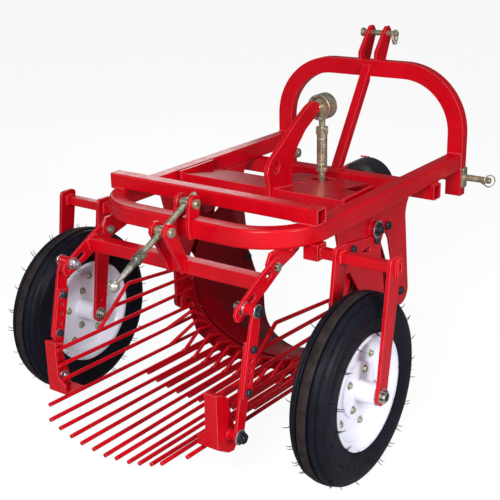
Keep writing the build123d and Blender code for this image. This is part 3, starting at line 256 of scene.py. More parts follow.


# %% The machine's finishes
# the third colour of each finish is a painted highlight along its edges
red = finish(
    "red enamel", (0.46, 0.0005, 0.006), (0.60, 0.0008, 0.009), (1.0, 0.16, 0.20),
    (0.26, 0.40), coat=0.12, coat_rough=0.12, bump=0.05, specular=0.25, highlight_share=0.6,
    edge_radius=0.0026,
)
# a darker red that is painted shade on the share and what lies under it
shaded_red = finish(
    "red enamel in painted shade", (0.20, 0.0003, 0.004), (0.30, 0.0006, 0.006), (0.60, 0.03, 0.05),
    (0.40, 0.55), coat=0.0, bump=0.06, specular=0.10, highlight_share=0.5,
)
finishes = {
    "red_paint": red,
    "zinc_yellow": finish(
        "olive zinc plate", (0.19, 0.17, 0.10), (0.58, 0.54, 0.39), (0.95, 0.92, 0.80),
        (0.20, 0.38), metallic=0.65, patch=45.0, bump=0.05, edge_radius=0.0016, highlight_share=0.8,
    ),
    "dark_bolt": finish(
        "blackened bolt", (0.012, 0.014, 0.022), (0.05, 0.055, 0.075), (0.25, 0.27, 0.33),
        (0.3, 0.45), metallic=0.6, patch=60.0, bump=0.05, edge_radius=0.0008,
    ),
    "bright_steel": finish(
        "bright zinc", (0.50, 0.51, 0.55), (0.78, 0.79, 0.82), (0.95, 0.95, 0.97),
        (0.2, 0.35), metallic=0.9, patch=60.0, bump=0.03, edge_radius=0.0008,
    ),
    "plain_steel": finish(
        "plain rolled steel", (0.17, 0.17, 0.12), (0.30, 0.30, 0.24), (0.5, 0.5, 0.42),
        (0.35, 0.5), metallic=0.6, patch=25.0, bump=0.06,
    ),
    "black_guard": finish(
        "moulded guard", (0.010, 0.010, 0.013), (0.020, 0.020, 0.024), (0.06, 0.06, 0.07),
        (0.35, 0.5), patch=12.0, bump=0.08,
    ),
    # the faint blue in the dark rubber's colours is a painted sheen
    "black_rubber": finish(
        "tyre rubber", (0.0035, 0.0036, 0.0065), (0.008, 0.0085, 0.016), (0.02, 0.02, 0.035),
        (0.42, 0.55), patch=14.0, grain=260.0, ripple=40.0, bump=0.12, highlight_share=0.3,
        specular=0.14,
    ),
    "white_rim": finish(
        "white rim paint", (0.80, 0.80, 0.92), (0.90, 0.90, 0.98), (1.0, 1.0, 1.0),
        (0.3, 0.42), coat=0.2, bump=0.05,
    ),
}
# the share and what lies under it are painted a darker red: painted shade, where the deck above shades them
SHADED_RED_NODES = ("share", "riddle_arc", "share_spacers")
handle_zinc = finish(
    "worn bright zinc of the handle", (0.34, 0.33, 0.28), (0.66, 0.65, 0.58), (0.9, 0.9, 0.85),
    (0.24, 0.40), metallic=0.7, patch=60.0, bump=0.04, edge_radius=0.001, highlight_share=0.6,
)
screw_zinc = finish(
    "dull zinc of the screw", (0.10, 0.10, 0.075), (0.30, 0.30, 0.24), (0.75, 0.75, 0.68),
    (0.25, 0.45), metallic=0.75, patch=70.0, bump=0.06, edge_radius=0.001, highlight_share=0.6,
)
for part in record["subparts"]:
    slots = nodes[part["node"]].data.materials
    slots.clear()
    slots.append(shaded_red if part["node"] in SHADED_RED_NODES else finishes[part["material_slot"]])
print("finishes:", sorted(finishes))


# %% [markdown]
# ## Making pieces
# Each extra piece is a plain mesh whose place is in its points, and it rides on
# one body of the machine, so it moves with the joint. Most are rings of points
# with faces between them, closed by a cap at each end, so that work is shared.

# %% Piece helpers
def piece_from(name, mesh, body, slot, materials=None):
    """A mesh as a piece on a body, by default in the finish of a slot of the record."""
    mesh.name = name
    mesh.materials.clear()
    for material in materials or [finishes[slot]]:
        mesh.materials.append(material)
    obj = bpy.data.objects.new(name, mesh)
    scene.collection.objects.link(obj)
    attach(obj, body)
    return obj


def join_rings(bm, low, high, smooth=False):
    """Faces between two rings with the same number of points."""
    count = len(low)
    for i in range(count):
        j = (i + 1) % count
        bm.faces.new((low[i], low[j], high[j], high[i])).smooth = smooth


def cap_ends(bm, rings):
    """Closes the last and the first of a run of rings."""
    bm.faces.new(rings[-1])
    bm.faces.new(tuple(reversed(rings[0])))


def mesh_of(bm, name, crease=None):
    """A plain mesh with its faces outwards; edges over crease degrees are marked sharp."""
    bmesh.ops.recalc_face_normals(bm, faces=bm.faces)
    if crease is not None:
        for edge in bm.edges:
            if len(edge.link_faces) == 2 and edge.calc_face_angle() > math.radians(crease):
                edge.smooth = False
    mesh = bpy.data.meshes.new(name)
    bm.to_mesh(mesh)
    bm.free()
    return mesh


def turned(profile, centre, steps):
    """Spins a closed profile of (x, radius) points about a line along X."""
    bm = bmesh.new()
    rings = []
    for step in range(steps):
        angle = math.tau * step / steps
        up, along = math.sin(angle), math.cos(angle)
        rings.append([
            bm.verts.new((centre.x + x, centre.y + r * along, centre.z + r * up))
            for x, r in profile
        ])
    for step in range(steps):
        join_rings(bm, rings[step], rings[(step + 1) % steps], smooth=True)
    return mesh_of(bm, "turned")


# %% [markdown]
# Geometry Nodes do the repeating work. A tree is built once with named inputs,
# put on a host object as a modifier, and its result is taken out as a plain
# mesh. The modifier's inputs are set by the socket's identifier, because names
# need not be unique.

# %% Geometry Nodes helpers
def geometry_tree(name, inputs):
    """A tree with a geometry in and out and the named inputs given."""
    tree = bpy.data.node_groups.new(name, "GeometryNodeTree")
    tree.interface.new_socket("Geometry", in_out="INPUT", socket_type="NodeSocketGeometry")
    for label, kind, default in inputs:
        socket = tree.interface.new_socket(label, in_out="INPUT", socket_type=kind)
        if default is not None:
            socket.default_value = default
    tree.interface.new_socket("Geometry", in_out="OUTPUT", socket_type="NodeSocketGeometry")
    return tree, tree.nodes.new("NodeGroupInput"), tree.nodes.new("NodeGroupOutput")


def grown(host_mesh, tree, **values):
    """Runs a tree on a host mesh and returns the result as a plain mesh."""
    host = bpy.data.objects.new("host", host_mesh)
    scene.collection.objects.link(host)
    modifier = host.modifiers.new("grow", "NODES")
    modifier.node_group = tree
    for item in tree.interface.items_tree:
        if item.item_type == "SOCKET" and item.in_out == "INPUT" and item.name in values:
            modifier[item.identifier] = values[item.name]
    graph = bpy.context.evaluated_depsgraph_get()
    mesh = bpy.data.meshes.new_from_object(host.evaluated_get(graph), depsgraph=graph)
    host.modifiers.remove(modifier)
    bpy.data.objects.remove(host)
    return mesh


def end_tree(tree, g_in, g_out, geometry, smooth=False):
    """The last nodes of every tree: real geometry, smooth if asked, in its finish."""
    kinds = ["GeometryNodeRealizeInstances", "GeometryNodeSetMaterial"]
    if smooth:
        kinds.insert(1, "GeometryNodeSetShadeSmooth")
    for kind in kinds:
        node = tree.nodes.new(kind)
        tree.links.new(geometry, node.inputs["Geometry"])
        geometry = node.outputs["Geometry"]
    wire(tree, (g_in, "Finish", node, "Material"))
    tree.links.new(geometry, g_out.inputs["Geometry"])


def point_mesh(points, **attributes):
    """Loose points, each with named vectors for a tree to read."""
    mesh = bpy.data.meshes.new("points")
    mesh.from_pydata([tuple(p) for p in points], [], [])
    for label, values in attributes.items():
        attribute = mesh.attributes.new(label, "FLOAT_VECTOR", "POINT")
        for item, value in zip(attribute.data, values):
            item.vector = value
    return mesh


def pattern_object(name, mesh):
    """A mesh kept out of the scene that a tree copies onto points."""
    return bpy.data.objects.new(name, mesh)


# %% A tree that sets a pattern on points
def placing_tree():
    """Copies a pattern to every point, by the point's own turn and size."""
    tree, g_in, g_out = geometry_tree("set on points", [
        ("Pattern", "NodeSocketObject", None),
        ("Finish", "NodeSocketMaterial", None),
    ])
    info = tree.nodes.new("GeometryNodeObjectInfo")
    copies = tree.nodes.new("GeometryNodeInstanceOnPoints")
    wire(
        tree,
        (g_in, "Geometry", copies, "Points"),
        (g_in, "Pattern", info, "Object"),
        (info, "Geometry", copies, "Instance"),
    )
    for label, socket in (("turn", "Rotation"), ("size", "Scale")):
        vector = add_node(
            tree, "GeometryNodeInputNamedAttribute", {"data_type": "FLOAT_VECTOR"}, Name=label
        )
        wire(tree, (vector, "Attribute", copies, socket))
    end_tree(tree, g_in, g_out, copies.outputs["Instances"])
    return tree


SET_ON_POINTS = placing_tree()


def set_pattern(name, pattern, rows, body, look):
    """A piece made of one pattern at each (point, turn, size) row."""
    points, turns, sizes = zip(*rows)
    mesh = grown(point_mesh(points, turn=turns, size=sizes), SET_ON_POINTS,
                 Pattern=pattern, Finish=finishes[look])
    return piece_from(name, mesh, body, look)


print("trees:", SET_ON_POINTS.name)


# %% [markdown]
# ## Tyres
# A front tractor tyre has three ribs round its tread, and deep grooves between
# them. The middle rib is worn brown by the floor. The tyre is one closed
# profile spun about the axle, which is how a tyre mould is turned too.

# %% Tyre profile
# (distance from the tyre's middle, radius) in mm: the tread first, then the side and the inside
HALF_PROFILE = [
    (0.0, 270.0), (11.5, 269.6), (13.2, 268.6), (13.8, 266.5), (14.4, 259.5), (16.0, 258.2),
    (18.2, 258.2), (19.6, 259.5), (20.2, 265.0), (21.2, 266.6), (24.6, 266.2), (25.6, 265.0),
    (26.6, 265.6), (31.0, 264.4), (32.2, 263.0), (32.8, 257.2), (34.4, 256.0), (36.4, 256.2),
    (37.6, 258.4), (40.6, 256.6), (45.5, 250.5), (49.4, 243.0), (51.6, 237.0), (52.6, 236.2),
    (53.0, 232.0), (54.0, 222.0), (53.6, 210.0), (52.0, 198.0), (51.4, 195.6), (51.8, 194.6),
    (50.2, 190.0), (49.0, 187.0), (49.6, 185.8), (47.0, 179.0), (45.2, 175.0), (45.4, 173.6),
    (43.6, 168.0), (42.4, 158.0), (36.0, 151.2), (31.0, 160.0), (41.0, 195.0), (43.5, 222.0),
    (33.5, 240.0), (0.0, 246.0),
]
TYRE_STEPS = 112
CROWN_HALF, CROWN_RADIUS = 0.0125, 0.262      # the middle rib's worn face lies within these


def whole_profile(half):
    """Mirrors a half profile about the middle of the tyre."""
    outside = [(x / 1000, r / 1000) for x, r in half]
    inside = [(-x / 1000, r / 1000) for x, r in reversed(half) if x > 0]
    return outside + inside


# %% Tyres
def worn_tyre(name, node, body, side):
    """The tyre's rubber, with the crown of the middle rib in a worn finish."""
    centre = Vector((side * WHEEL_X, AXLE_Y, AXLE_Z))
    mesh = turned(whole_profile(HALF_PROFILE), centre, TYRE_STEPS)
    tyre = piece_from(name, mesh, body, "black_rubber", [finishes["black_rubber"], worn_rubber])
    for face in mesh.polygons:
        offset = abs(face.center.x - centre.x)
        if offset < CROWN_HALF and (face.center.yz - centre.yz).length > CROWN_RADIUS:
            face.material_index = 1
    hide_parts(node)
    return tyre


worn_rubber = finish(
    "worn tread", (0.013, 0.009, 0.009), (0.034, 0.024, 0.024), (0.06, 0.045, 0.045),
    (0.6, 0.8), patch=40.0, grain=500.0, ripple=120.0, bump=0.25, highlight_share=0.2, specular=0.15,
)
for side, word in SIDES:
    tyre = worn_tyre("tyre_rubber_" + word, "tyre_" + word, "wheel_" + word, side)
    print(tyre.name, len(tyre.data.polygons), "faces")


# %% [markdown]
# New tyres carry thin rubber whiskers, which form in the vent holes of the
# mould. They stand in pairs round the shoulders and the tread. A few lines of
# seeded random numbers place them, and the tree copies one bent hair to each.

# %% Whiskers
HAIR_RINGS = ((0, 0, 0.075), (0.35, 0.02, 0.07), (0.7, 0.12, 0.06), (1.0, 0.33, 0.03))
HAIR_SIDES = 3


def bent_hair():
    """A thin hair 1 unit long along Z that curls towards X at its tip."""
    bm = bmesh.new()
    rings = []
    for height, lean, radius in HAIR_RINGS:
        rings.append([
            bm.verts.new((lean + radius * math.cos(a), radius * math.sin(a), height))
            for a in (i * math.tau / HAIR_SIDES for i in range(HAIR_SIDES))
        ])
    for low, high in zip(rings, rings[1:]):
        join_rings(bm, low, high)
    cap_ends(bm, rings)
    return mesh_of(bm, "hair")


WHISKER_ROWS = [
    # offset from the middle in mm, radius in mm, lean outwards in degrees, number, length in mm
    (40.0, 256.0, 36, 24, 19.0),
    (-40.0, 256.0, -36, 24, 19.0),
    (53.0, 212.0, 70, 13, 12.0),
    (-53.0, 212.0, -70, 13, 12.0),
    (44.6, 171.0, 126, 13, 21.0),
    (-44.6, 171.0, -126, 13, 21.0),
    (23.0, 265.0, 8, 9, 7.0),
    (-23.0, 265.0, -8, 9, 7.0),
]
PAIR_SHARE, PAIR_GAP = 0.65, 0.032      # how many whiskers have a twin, and how far on it stands
PLACE_SPREAD, LEAN_SPREAD, SWEEP_SPREAD = 0.2, 14, 0.35
LENGTH_SPREAD = (0.75, 1.15)
HAIR_WIDE = 0.019                       # scales the pattern's radii
FLOOR_CLEARANCE = 0.003
SEED = 7
hair = pattern_object("hair", bent_hair())
for side, word in SIDES:
    dice = random.Random(SEED + side)
    rows = []
    for offset, radius, lean, number, length in WHISKER_ROWS:
        for i in range(number):
            base = math.tau * (i + dice.uniform(-PLACE_SPREAD, PLACE_SPREAD)) / number
            for gap in (0, PAIR_GAP) if dice.random() < PAIR_SHARE else (0,):
                angle = base + gap
                point = Vector((
                    side * WHEEL_X + offset / 1000,
                    AXLE_Y + radius / 1000 * math.cos(angle),
                    AXLE_Z + radius / 1000 * math.sin(angle),
                ))
                outward = Vector((0, math.cos(angle), math.sin(angle)))
                tilt = math.radians(lean + dice.uniform(-LEAN_SPREAD, LEAN_SPREAD))
                way = outward * math.cos(tilt) + Vector((math.sin(tilt), 0, 0))
                around = Vector((0, -math.sin(angle), math.cos(angle)))
                way += around * dice.uniform(-SWEEP_SPREAD, SWEEP_SPREAD)
                long = length * dice.uniform(*LENGTH_SPREAD) / 1000
                if point.z + way.z * long >= FLOOR_CLEARANCE:
                    turn = tuple(way.to_track_quat("Z", "X").to_euler())
                    rows.append((point, turn, (HAIR_WIDE, HAIR_WIDE, long)))
    set_pattern("whiskers_" + word, hair, rows, "wheel_" + word, "black_rubber")
    print("whiskers", word, len(rows))


# %% [markdown]
# ## Bolts, nuts and washers
# The solids hold each bolt as a shank with plain six-sided ends. Here every end
# is found in the frame and gets what a fitter would see: a head with turned
# corners or a nut with the stud's end showing. All but the frame's own bolts have a
# bright washer under it.

# %% Finding the ends of the bolts
SAME_POINT = 1e-6
END_REACH = 0.026                       # a head or a nut ends within this of the bolt's end
CORNER_BAND = 6e-4                      # how far in the corners of a hexagon are looked for
TALLEST_HEAD, FLAT_HEAD = 0.016, 0.008  # most height taken, and the height where none is found


def loose_parts(node):
    """The separate solids of a node, each as a list of points, in the mesh's own order."""
    bm = bmesh.new()
    bm.from_mesh(nodes[node].data)
    bmesh.ops.remove_doubles(bm, verts=bm.verts, dist=SAME_POINT)
    seen, parts = set(), []
    for first in bm.verts:
        if first in seen:
            continue
        seen.add(first)
        stack, points = [first], []
        while stack:
            vert = stack.pop()
            points.append(vert.co.copy())
            for edge in vert.link_edges:
                other = edge.other_vert(vert)
                if other not in seen:
                    seen.add(other)
                    stack.append(other)
        parts.append(points)
    bm.free()
    return parts


def bolt_ends(node):
    """Each head or nut of each bolt: outer face, its way on X, radius and height."""
    ends = []
    for part in loose_parts(node):
        low = Vector([min(p[i] for p in part) for i in range(3)])
        high = Vector([max(p[i] for p in part) for i in range(3)])
        middle = (low + high) / 2
        for way, face_x in ((1, high.x), (-1, low.x)):
            near = [p for p in part if abs(p.x - face_x) < END_REACH]
            radius = max((p.yz - middle.yz).length for p in near)
            corners = [p.x for p in near if (p.yz - middle.yz).length > radius - CORNER_BAND]
            outer = max(corners) if way > 0 else min(corners)
            height = min(max(corners) - min(corners), TALLEST_HEAD) or FLAT_HEAD
            ends.append((Vector((outer, middle.y, middle.z)), way, radius, height))
    return ends


BOLT_NODES = [
    "frame_bolts", "hanger_bolts", "hanger_top_bolts", "riddle_rear_bolts", "rock_shaft", "axles",
]
found = {node: bolt_ends(node) for node in BOLT_NODES}
for node, ends in found.items():
    print(node, len(ends), "ends, radii", sorted({round(end[2] * 1000, 1) for end in ends}),
          "heights", sorted({round(end[3] * 1000, 1) for end in ends}))


# %% Patterns for heads, nuts and washers
RING_POINTS = 12


def hex_ring(bm, x, across, round_to=None):
    """Points round a hexagon at height x, or round a circle where round_to is given."""
    verts = []
    for i in range(RING_POINTS):
        angle = math.tau * i / RING_POINTS
        radius = round_to or (across if i % 2 == 0 else across * math.cos(math.pi / 6))
        verts.append(bm.verts.new((x, radius * math.cos(angle), radius * math.sin(angle))))
    return verts


def stacked(rings):
    """A solid through a stack of rings, closed at both ends."""
    bm = bmesh.new()
    made = [hex_ring(bm, *ring) for ring in rings]
    for low, high in zip(made, made[1:]):
        join_rings(bm, low, high)
    cap_ends(bm, made)
    return mesh_of(bm, "stack")


# patterns about 1 unit high and 1 in radius, as (height, hexagon's radius, round radius) rings
bolt_head = pattern_object("bolt_head", stacked([
    (-1.0, 1.02), (-0.12, 1.02), (0.06, 1, 0.88), (0.08, 1, 0.60), (0.02, 1, 0.52), (0.02, 1, 0.2),
]))
nut_body = pattern_object("nut_body", stacked([
    (-1.0, 1, 0.9), (-0.86, 1.02), (-0.14, 1.02), (0.04, 1, 0.90), (0.04, 1, 0.62),
    (-0.06, 1, 0.58), (0.0, 1, 0.56), (0.42, 1, 0.56), (0.50, 1, 0.48), (0.50, 1, 0.2),
]))
washer = pattern_object("washer", stacked([
    (-0.5, 1, 0.97), (-0.4, 1, 1.0), (0.4, 1, 1.0), (0.5, 1, 0.97), (0.5, 1, 0.6),
]))
small_bolt = pattern_object("small_bolt", stacked([
    (-0.3, 1, 1.35), (0.0, 1, 1.35), (0.02, 1.0), (0.75, 1.0), (0.9, 1, 0.86), (0.9, 1, 0.55),
    (1.15, 1, 0.5),
]))


# %% Setting the fasteners
HEAD_KINDS = {
    # node: (the end away from the machine's middle, the end towards it)
    "frame_bolts": ("head", "nut"),
    "hanger_bolts": ("head", "nut"),
    "hanger_top_bolts": ("head", "bright nut"),
    "riddle_rear_bolts": ("head", "bright nut"),
    "rock_shaft": ("head", "head"),
    "axles": ("zinc head", "zinc nut"),
}
LOOKS = {
    "head": (bolt_head, "dark_bolt"),
    "nut": (nut_body, "dark_bolt"),
    "zinc head": (bolt_head, "zinc_yellow"),
    "zinc nut": (nut_body, "zinc_yellow"),
    "bright nut": (nut_body, "bright_steel"),
    "washer": (washer, "bright_steel"),
}
ROCKER_PIVOT = anchor("depth_rock")
HANGER_TOP = anchor("hanger_shake")
PIVOT_REACH = 0.01                              # a bolt this near the pivot's line is its bolt
WASHER_OVER = 1.28                              # a washer's radius over its bolt head's
WASHER_THICK, WASHER_GAP = 0.0026, 0.0012       # the gap puts its middle under the head
STACKED_WASHERS = (0.3026, 0.3146, 0.3172)      # x of each, either side of the rocker's arm
STACKED_RADIUS, STACKED_THICK = 0.0175, 0.0022
HEAD_TURN = 0.4                                 # each next head is turned on by this angle
bodies_of = {
    name: body for body, names in record["behaviour"]["bodies"].items() for name in names
}
fastener_table = {}
for node, ends in found.items():
    body = bodies_of[node]
    for centre, way, radius, height in ends:
        outer = way * centre.x > 0
        kind = HEAD_KINDS[node][0 if outer else 1]
        if (centre.yz - ROCKER_PIVOT.yz).length < PIVOT_REACH:
            kind = "zinc head" if outer else "zinc nut"
        fastener_table.setdefault((body, kind), []).append((centre, way, radius, height))
        if node != "frame_bolts":
            base = centre - Vector((way * (height + WASHER_GAP), 0, 0))
            row = (base, way, radius * WASHER_OVER, WASHER_THICK)
            fastener_table.setdefault((body, "washer"), []).append(row)
for side, _ in SIDES:
    for x in STACKED_WASHERS:
        spot = Vector((side * x, HANGER_TOP.y, HANGER_TOP.z))
        row = (spot, side, STACKED_RADIUS, STACKED_THICK)
        fastener_table[("hanger_pivots", "washer")].append(row)
for (body, kind), ends in sorted(fastener_table.items()):
    pattern, look = LOOKS[kind]
    rows = [
        (centre, (HEAD_TURN * i, 0, 0 if way > 0 else math.pi), (height, radius, radius))
        for i, (centre, way, radius, height) in enumerate(ends)
    ]
    set_pattern(body + "_" + kind.replace(" ", "_") + "s", pattern, rows, body, look)
    print(body, kind, len(rows))


# %% [markdown]
# Each wheel is two pressed discs bolted together, and bolted to the hub's
# flange by a second, smaller ring. A ring of bolts is the same bolt turned
# round the axle, so two short rows of numbers give all of them.

# %% Wheel bolts
WHEEL_BOLT_ROWS = [
    # radius, number, first angle right and left in degrees, outer and inner face; in mm
    (58.0, 4, 57, 82, 14.0, -2.0),
    (109.5, 6, 43, 66, 4.0, -2.0),
]
WHEEL_BOLT_SIZE = (0.0065, 0.0092, 0.0092)      # height and radius
for side, word in SIDES:
    rows = []
    for radius, number, first_right, first_left, outer_face, inner_face in WHEEL_BOLT_ROWS:
        first = first_right if side > 0 else first_left
        for i in range(number):
            angle = math.radians(first + 360 * i / number)
            y = AXLE_Y + radius / 1000 * math.cos(angle)
            z = AXLE_Z + radius / 1000 * math.sin(angle)
            for way in (1, -1):
                face = outer_face if way == side else inner_face
                turn = (angle, 0, 0 if way > 0 else math.pi)
                rows.append(((side * (WHEEL_X + face / 1000), y, z), turn, WHEEL_BOLT_SIZE))
    set_pattern("wheel_bolts_" + word, small_bolt, rows, "wheel_" + word, "zinc_yellow")
print("wheel bolts:", len(rows), "ends a wheel")


# %% [markdown]
# ## Welds
# The frame is welded from tubes and plates, and a painted bead runs along each
# joint. A bead is a row of small overlapping ripples, so the tree puts one
# small ball every few millimetres along a line.

# %% The bead tree
def bead_tree():
    """Ripples along the edges of the host: one ball at each step, a little varied in size."""
    tree, g_in, g_out = geometry_tree("weld bead", [
        ("Step", "NodeSocketFloat", 0.004),
        ("Width", "NodeSocketFloat", 0.0034),
        ("Finish", "NodeSocketMaterial", None),
    ])
    line = tree.nodes.new("GeometryNodeMeshToCurve")
    steps = add_node(tree, "GeometryNodeResampleCurve", {"mode": "LENGTH"})
    ball = add_node(tree, "GeometryNodeMeshUVSphere", Segments=8, Rings=5)
    wobble = add_node(tree, "FunctionNodeRandomValue", {"data_type": "FLOAT"}, Seed=3)
    wobble.inputs[2].default_value, wobble.inputs[3].default_value = 0.85, 1.15
    copies = tree.nodes.new("GeometryNodeInstanceOnPoints")
    wire(
        tree,
        (g_in, "Geometry", line, "Mesh"),
        (line, "Curve", steps, "Curve"),
        (g_in, "Step", steps, "Length"),
        (g_in, "Width", ball, "Radius"),
        (steps, "Curve", copies, "Points"),
        (ball, "Mesh", copies, "Instance"),
        (wobble, 1, copies, "Scale"),
    )
    end_tree(tree, g_in, g_out, copies.outputs["Instances"], smooth=True)
    return tree


WELD_BEAD = bead_tree()


def bead_lines(name, body, lines, width=0.0034, step=0.0042):
    """Beads along a list of lines, each a list of points in metres."""
    verts, edges = [], []
    for line in lines:
        start = len(verts)
        verts += [tuple(p) for p in line]
        edges += [(start + i, start + i + 1) for i in range(len(line) - 1)]
    mesh = bpy.data.meshes.new("lines")
    mesh.from_pydata(verts, edges, [])
    result = grown(mesh, WELD_BEAD, Step=step, Width=width, Finish=red)
    return piece_from(name, result, body, "red_paint")


def round_point(centre, side, up, radius, angle):
    """A point on a circle in the plane of two unit vectors."""
    return centre + side * radius * math.cos(angle) + up * radius * math.sin(angle)


def square_to(way):
    """Two unit vectors at right angles to a unit vector and to each other."""
    side = way.orthogonal().normalized()
    return side, way.cross(side)


def ring_line(centre, radius, normal, steps=14):
    """A closed ring of points round a rod or bush."""
    side, up = square_to(Vector(normal).normalized())
    return [
        round_point(centre, side, up, radius, math.tau * i / steps) for i in range(steps + 1)
    ]


# %% [markdown]
# A thin strip rides on the front of the riddle's curved bar and reaches forward
# under the share. It is painted shade: it fills the gap between the two, where the
# floor would show, with the share's darker red. It follows the share's own section a little further out.

# %% Strip under the rear edge of the share
_, share_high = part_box("share")
_, arc_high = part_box("riddle_arc")
STRIP_DROP, STRIP_THICK, STRIP_REACH = 0.014, 0.003, 0.050
STRIP_HALF_ANGLE, STRIP_STEPS = 62, 40
SECTION_Z, SECTION_DEPTH = 0.316, 0.202      # the share section's widest height, and its depth
bm = bmesh.new()
strip_rows = []
for step in range(STRIP_STEPS + 1):
    angle = math.radians(-STRIP_HALF_ANGLE + 2 * STRIP_HALF_ANGLE * step / STRIP_STEPS)
    row = []
    for drop, reach in ((0, 0), (0, STRIP_REACH), (STRIP_THICK, STRIP_REACH), (STRIP_THICK, 0)):
        wide = share_high.x + STRIP_DROP + drop
        deep = SECTION_DEPTH + STRIP_DROP + drop
        row.append(bm.verts.new((
            wide * math.sin(angle), arc_high.y + reach, SECTION_Z - deep * math.cos(angle)
        )))
    strip_rows.append(row)
for here, after in zip(strip_rows, strip_rows[1:]):
    join_rings(bm, here, after)
cap_ends(bm, strip_rows)
# the strip is painted shade: a dark sheet in the share's shaded red over the gap
piece_from("clod_strip", mesh_of(bm, "strip"), "riddle", "red_paint", [shaded_red])
print("strip from", round(arc_high.y, 4), "forward", STRIP_REACH)

# %% Welds round the riddle's rods
TIP_BAND = 4e-4                              # points this near a rod's front end are its tip
LONE_ROD = 0.03                              # a tip wider than this is a doubled rod's bend
ROD_BEAD_RADIUS, ROD_BEAD_BACK = 0.0062, 0.0015
rod_lines = []
for part in loose_parts("riddle_rods"):
    front = max(p.y for p in part)
    tip = [p for p in part if p.y > front - TIP_BAND]
    centre = sum(tip, Vector()) / len(tip)
    if (max(p.x for p in tip) - min(p.x for p in tip)) < LONE_ROD:
        at = centre - Vector((0, ROD_BEAD_BACK, 0))
        rod_lines.append(ring_line(at, ROD_BEAD_RADIUS, (0, 1, 0)))
bead_lines("riddle_weld_beads", "riddle", rod_lines, width=0.0026, step=0.0034)
print("rods welded to the arc:", len(rod_lines))

# %% Welds of the frame
def both_sides(lines):
    """The same lines and their mirror images across the middle."""
    return lines + [[Vector((-p.x, p.y, p.z)) for p in line] for line in lines]


rail_low, rail_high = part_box("main_frame")
arch_low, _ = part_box("hitch_arch")
rear_low, rear_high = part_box("rear_cross_tube")
front_low, front_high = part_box("front_cross_tube")
brace_low, brace_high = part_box("hitch_brace")
RAIL_WIDE = 0.050
inner_x, outer_x = rail_high.x - RAIL_WIDE, rail_high.x
top, under = rail_high.z, rail_low.z
# across a rail's top: both edges of the rear cross tube, and the arch's leg
frame_welds = [
    [Vector((inner_x, y, top)), Vector((outer_x, y, top))]
    for y in (rear_low.y, rear_high.y, arch_low.y)
]
# down a rail's outer face at the arch's leg, and along the front cross tube under the rail
frame_welds.append([Vector((outer_x, arch_low.y, top)), Vector((outer_x, arch_low.y, under))])
frame_welds.append([Vector((outer_x, front_low.y, under)), Vector((outer_x, front_high.y, under))])
# a square crossbar joins the sleeve and the legs of each wheel's fork: y and z of its
# corners, and the x of each joint, in mm
CROSSBAR = ((48, 600), (76, 600), (76, 628), (48, 628), (48, 600))
CROSSBAR_JOINTS = (376.5, 429, 439.5, 591.5)
for x in CROSSBAR_JOINTS:
    frame_welds.append([from_axle(x, y, z) for y, z in CROSSBAR])
frame_welds = both_sides(frame_welds)
# three sides of the brace's foot
frame_welds.append([
    Vector((x, y, brace_low.z))
    for x, y in (
        (brace_high.x, brace_low.y), (brace_high.x, brace_high.y), (brace_low.x, brace_high.y)
    )
])
print("frame seams:", len(frame_welds))
bead_lines("frame_weld_beads", "frame", frame_welds)

# %% Welds of the shaken pieces
DECK_REAR, DECK_FRONT = (294, 690), (640, 645)      # y and z of the deck's two ends, in mm
LEVER_SEAM_X, LEVER_SEAM_Y = (41.5, 58.5), range(296, 404, 12)


def on_deck(x, y):
    """A point on the sloping deck of the shaker."""
    share = (y - DECK_REAR[0]) / (DECK_FRONT[0] - DECK_REAR[0])
    return from_axle(x, y, DECK_REAR[1] + share * (DECK_FRONT[1] - DECK_REAR[1]))


lever_welds = [[on_deck(x, y) for y in LEVER_SEAM_Y] for x in LEVER_SEAM_X]
bead_lines("lever_weld_beads", "cradle", lever_welds, width=0.0036)

# each hook's foot sits on its rod with a short bead either side; in mm
HOOK_FEET = [
    # x, height of the rod at the foot
    (0.0, 102.3), (42.1, 103.2), (87.0, 104.8), (125.9, 112.2), (167.9, 118.5), (205.0, 135.9),
]
FOOT_Y, BEAD_ASIDE, BEAD_UP = (140, 147, 154), (-4.0, 4.0), 4.6
hook_welds = []
for x, z in HOOK_FEET:
    for way in (1, -1) if x else (1,):
        for beside in BEAD_ASIDE:
            hook_welds.append([from_axle(way * x + beside, y, z + BEAD_UP) for y in FOOT_Y])
bead_lines("hook_weld_beads", "riddle", hook_welds, width=0.0028, step=0.0034)

# the rocker's square tube meets the inside of each arm at SEAM_X; it leans with the rocker
TUBE_Y, TUBE_Z, TUBE_HALF, TUBE_LEAN = -127.0, 574.1, 20.0, math.radians(24.5)
SEAM_X = 304.5
ring = []
for a, b in ((1, 1), (1, -1), (-1, -1), (-1, 1), (1, 1)):
    y = TUBE_Y + TUBE_HALF * (a * math.cos(TUBE_LEAN) + b * math.sin(TUBE_LEAN))
    z = TUBE_Z + TUBE_HALF * (a * math.sin(TUBE_LEAN) - b * math.cos(TUBE_LEAN))
    ring.append(from_axle(SEAM_X, y, z))
rocker_welds = both_sides([ring])
bead_lines("rocker_weld_beads", "rocker", rocker_welds)
print("lever, hook and rocker seams:", len(lever_welds), len(hook_welds), len(rocker_welds))


# %% [markdown]
# ## Depth screw
# The screw that sets the riddle's height has a coarse thread. Its ridge is one
# long helix swept with a small round section. It is left out inside the two
# trunnions that the screw runs in.

# %% The thread's ridge
SCREW_X = 0.032      # the screw stands a little right of the middle
THREAD_RADIUS, THREAD_PITCH, THREAD_RIDGE_RADIUS = 0.0080, 0.0042, 0.0012
TRUNNION_HALF = 0.015                        # no ridge this near a trunnion's middle
TOP_LENGTH, BELOW_LENGTH = 0.038, 0.086      # how far it goes on past each trunnion


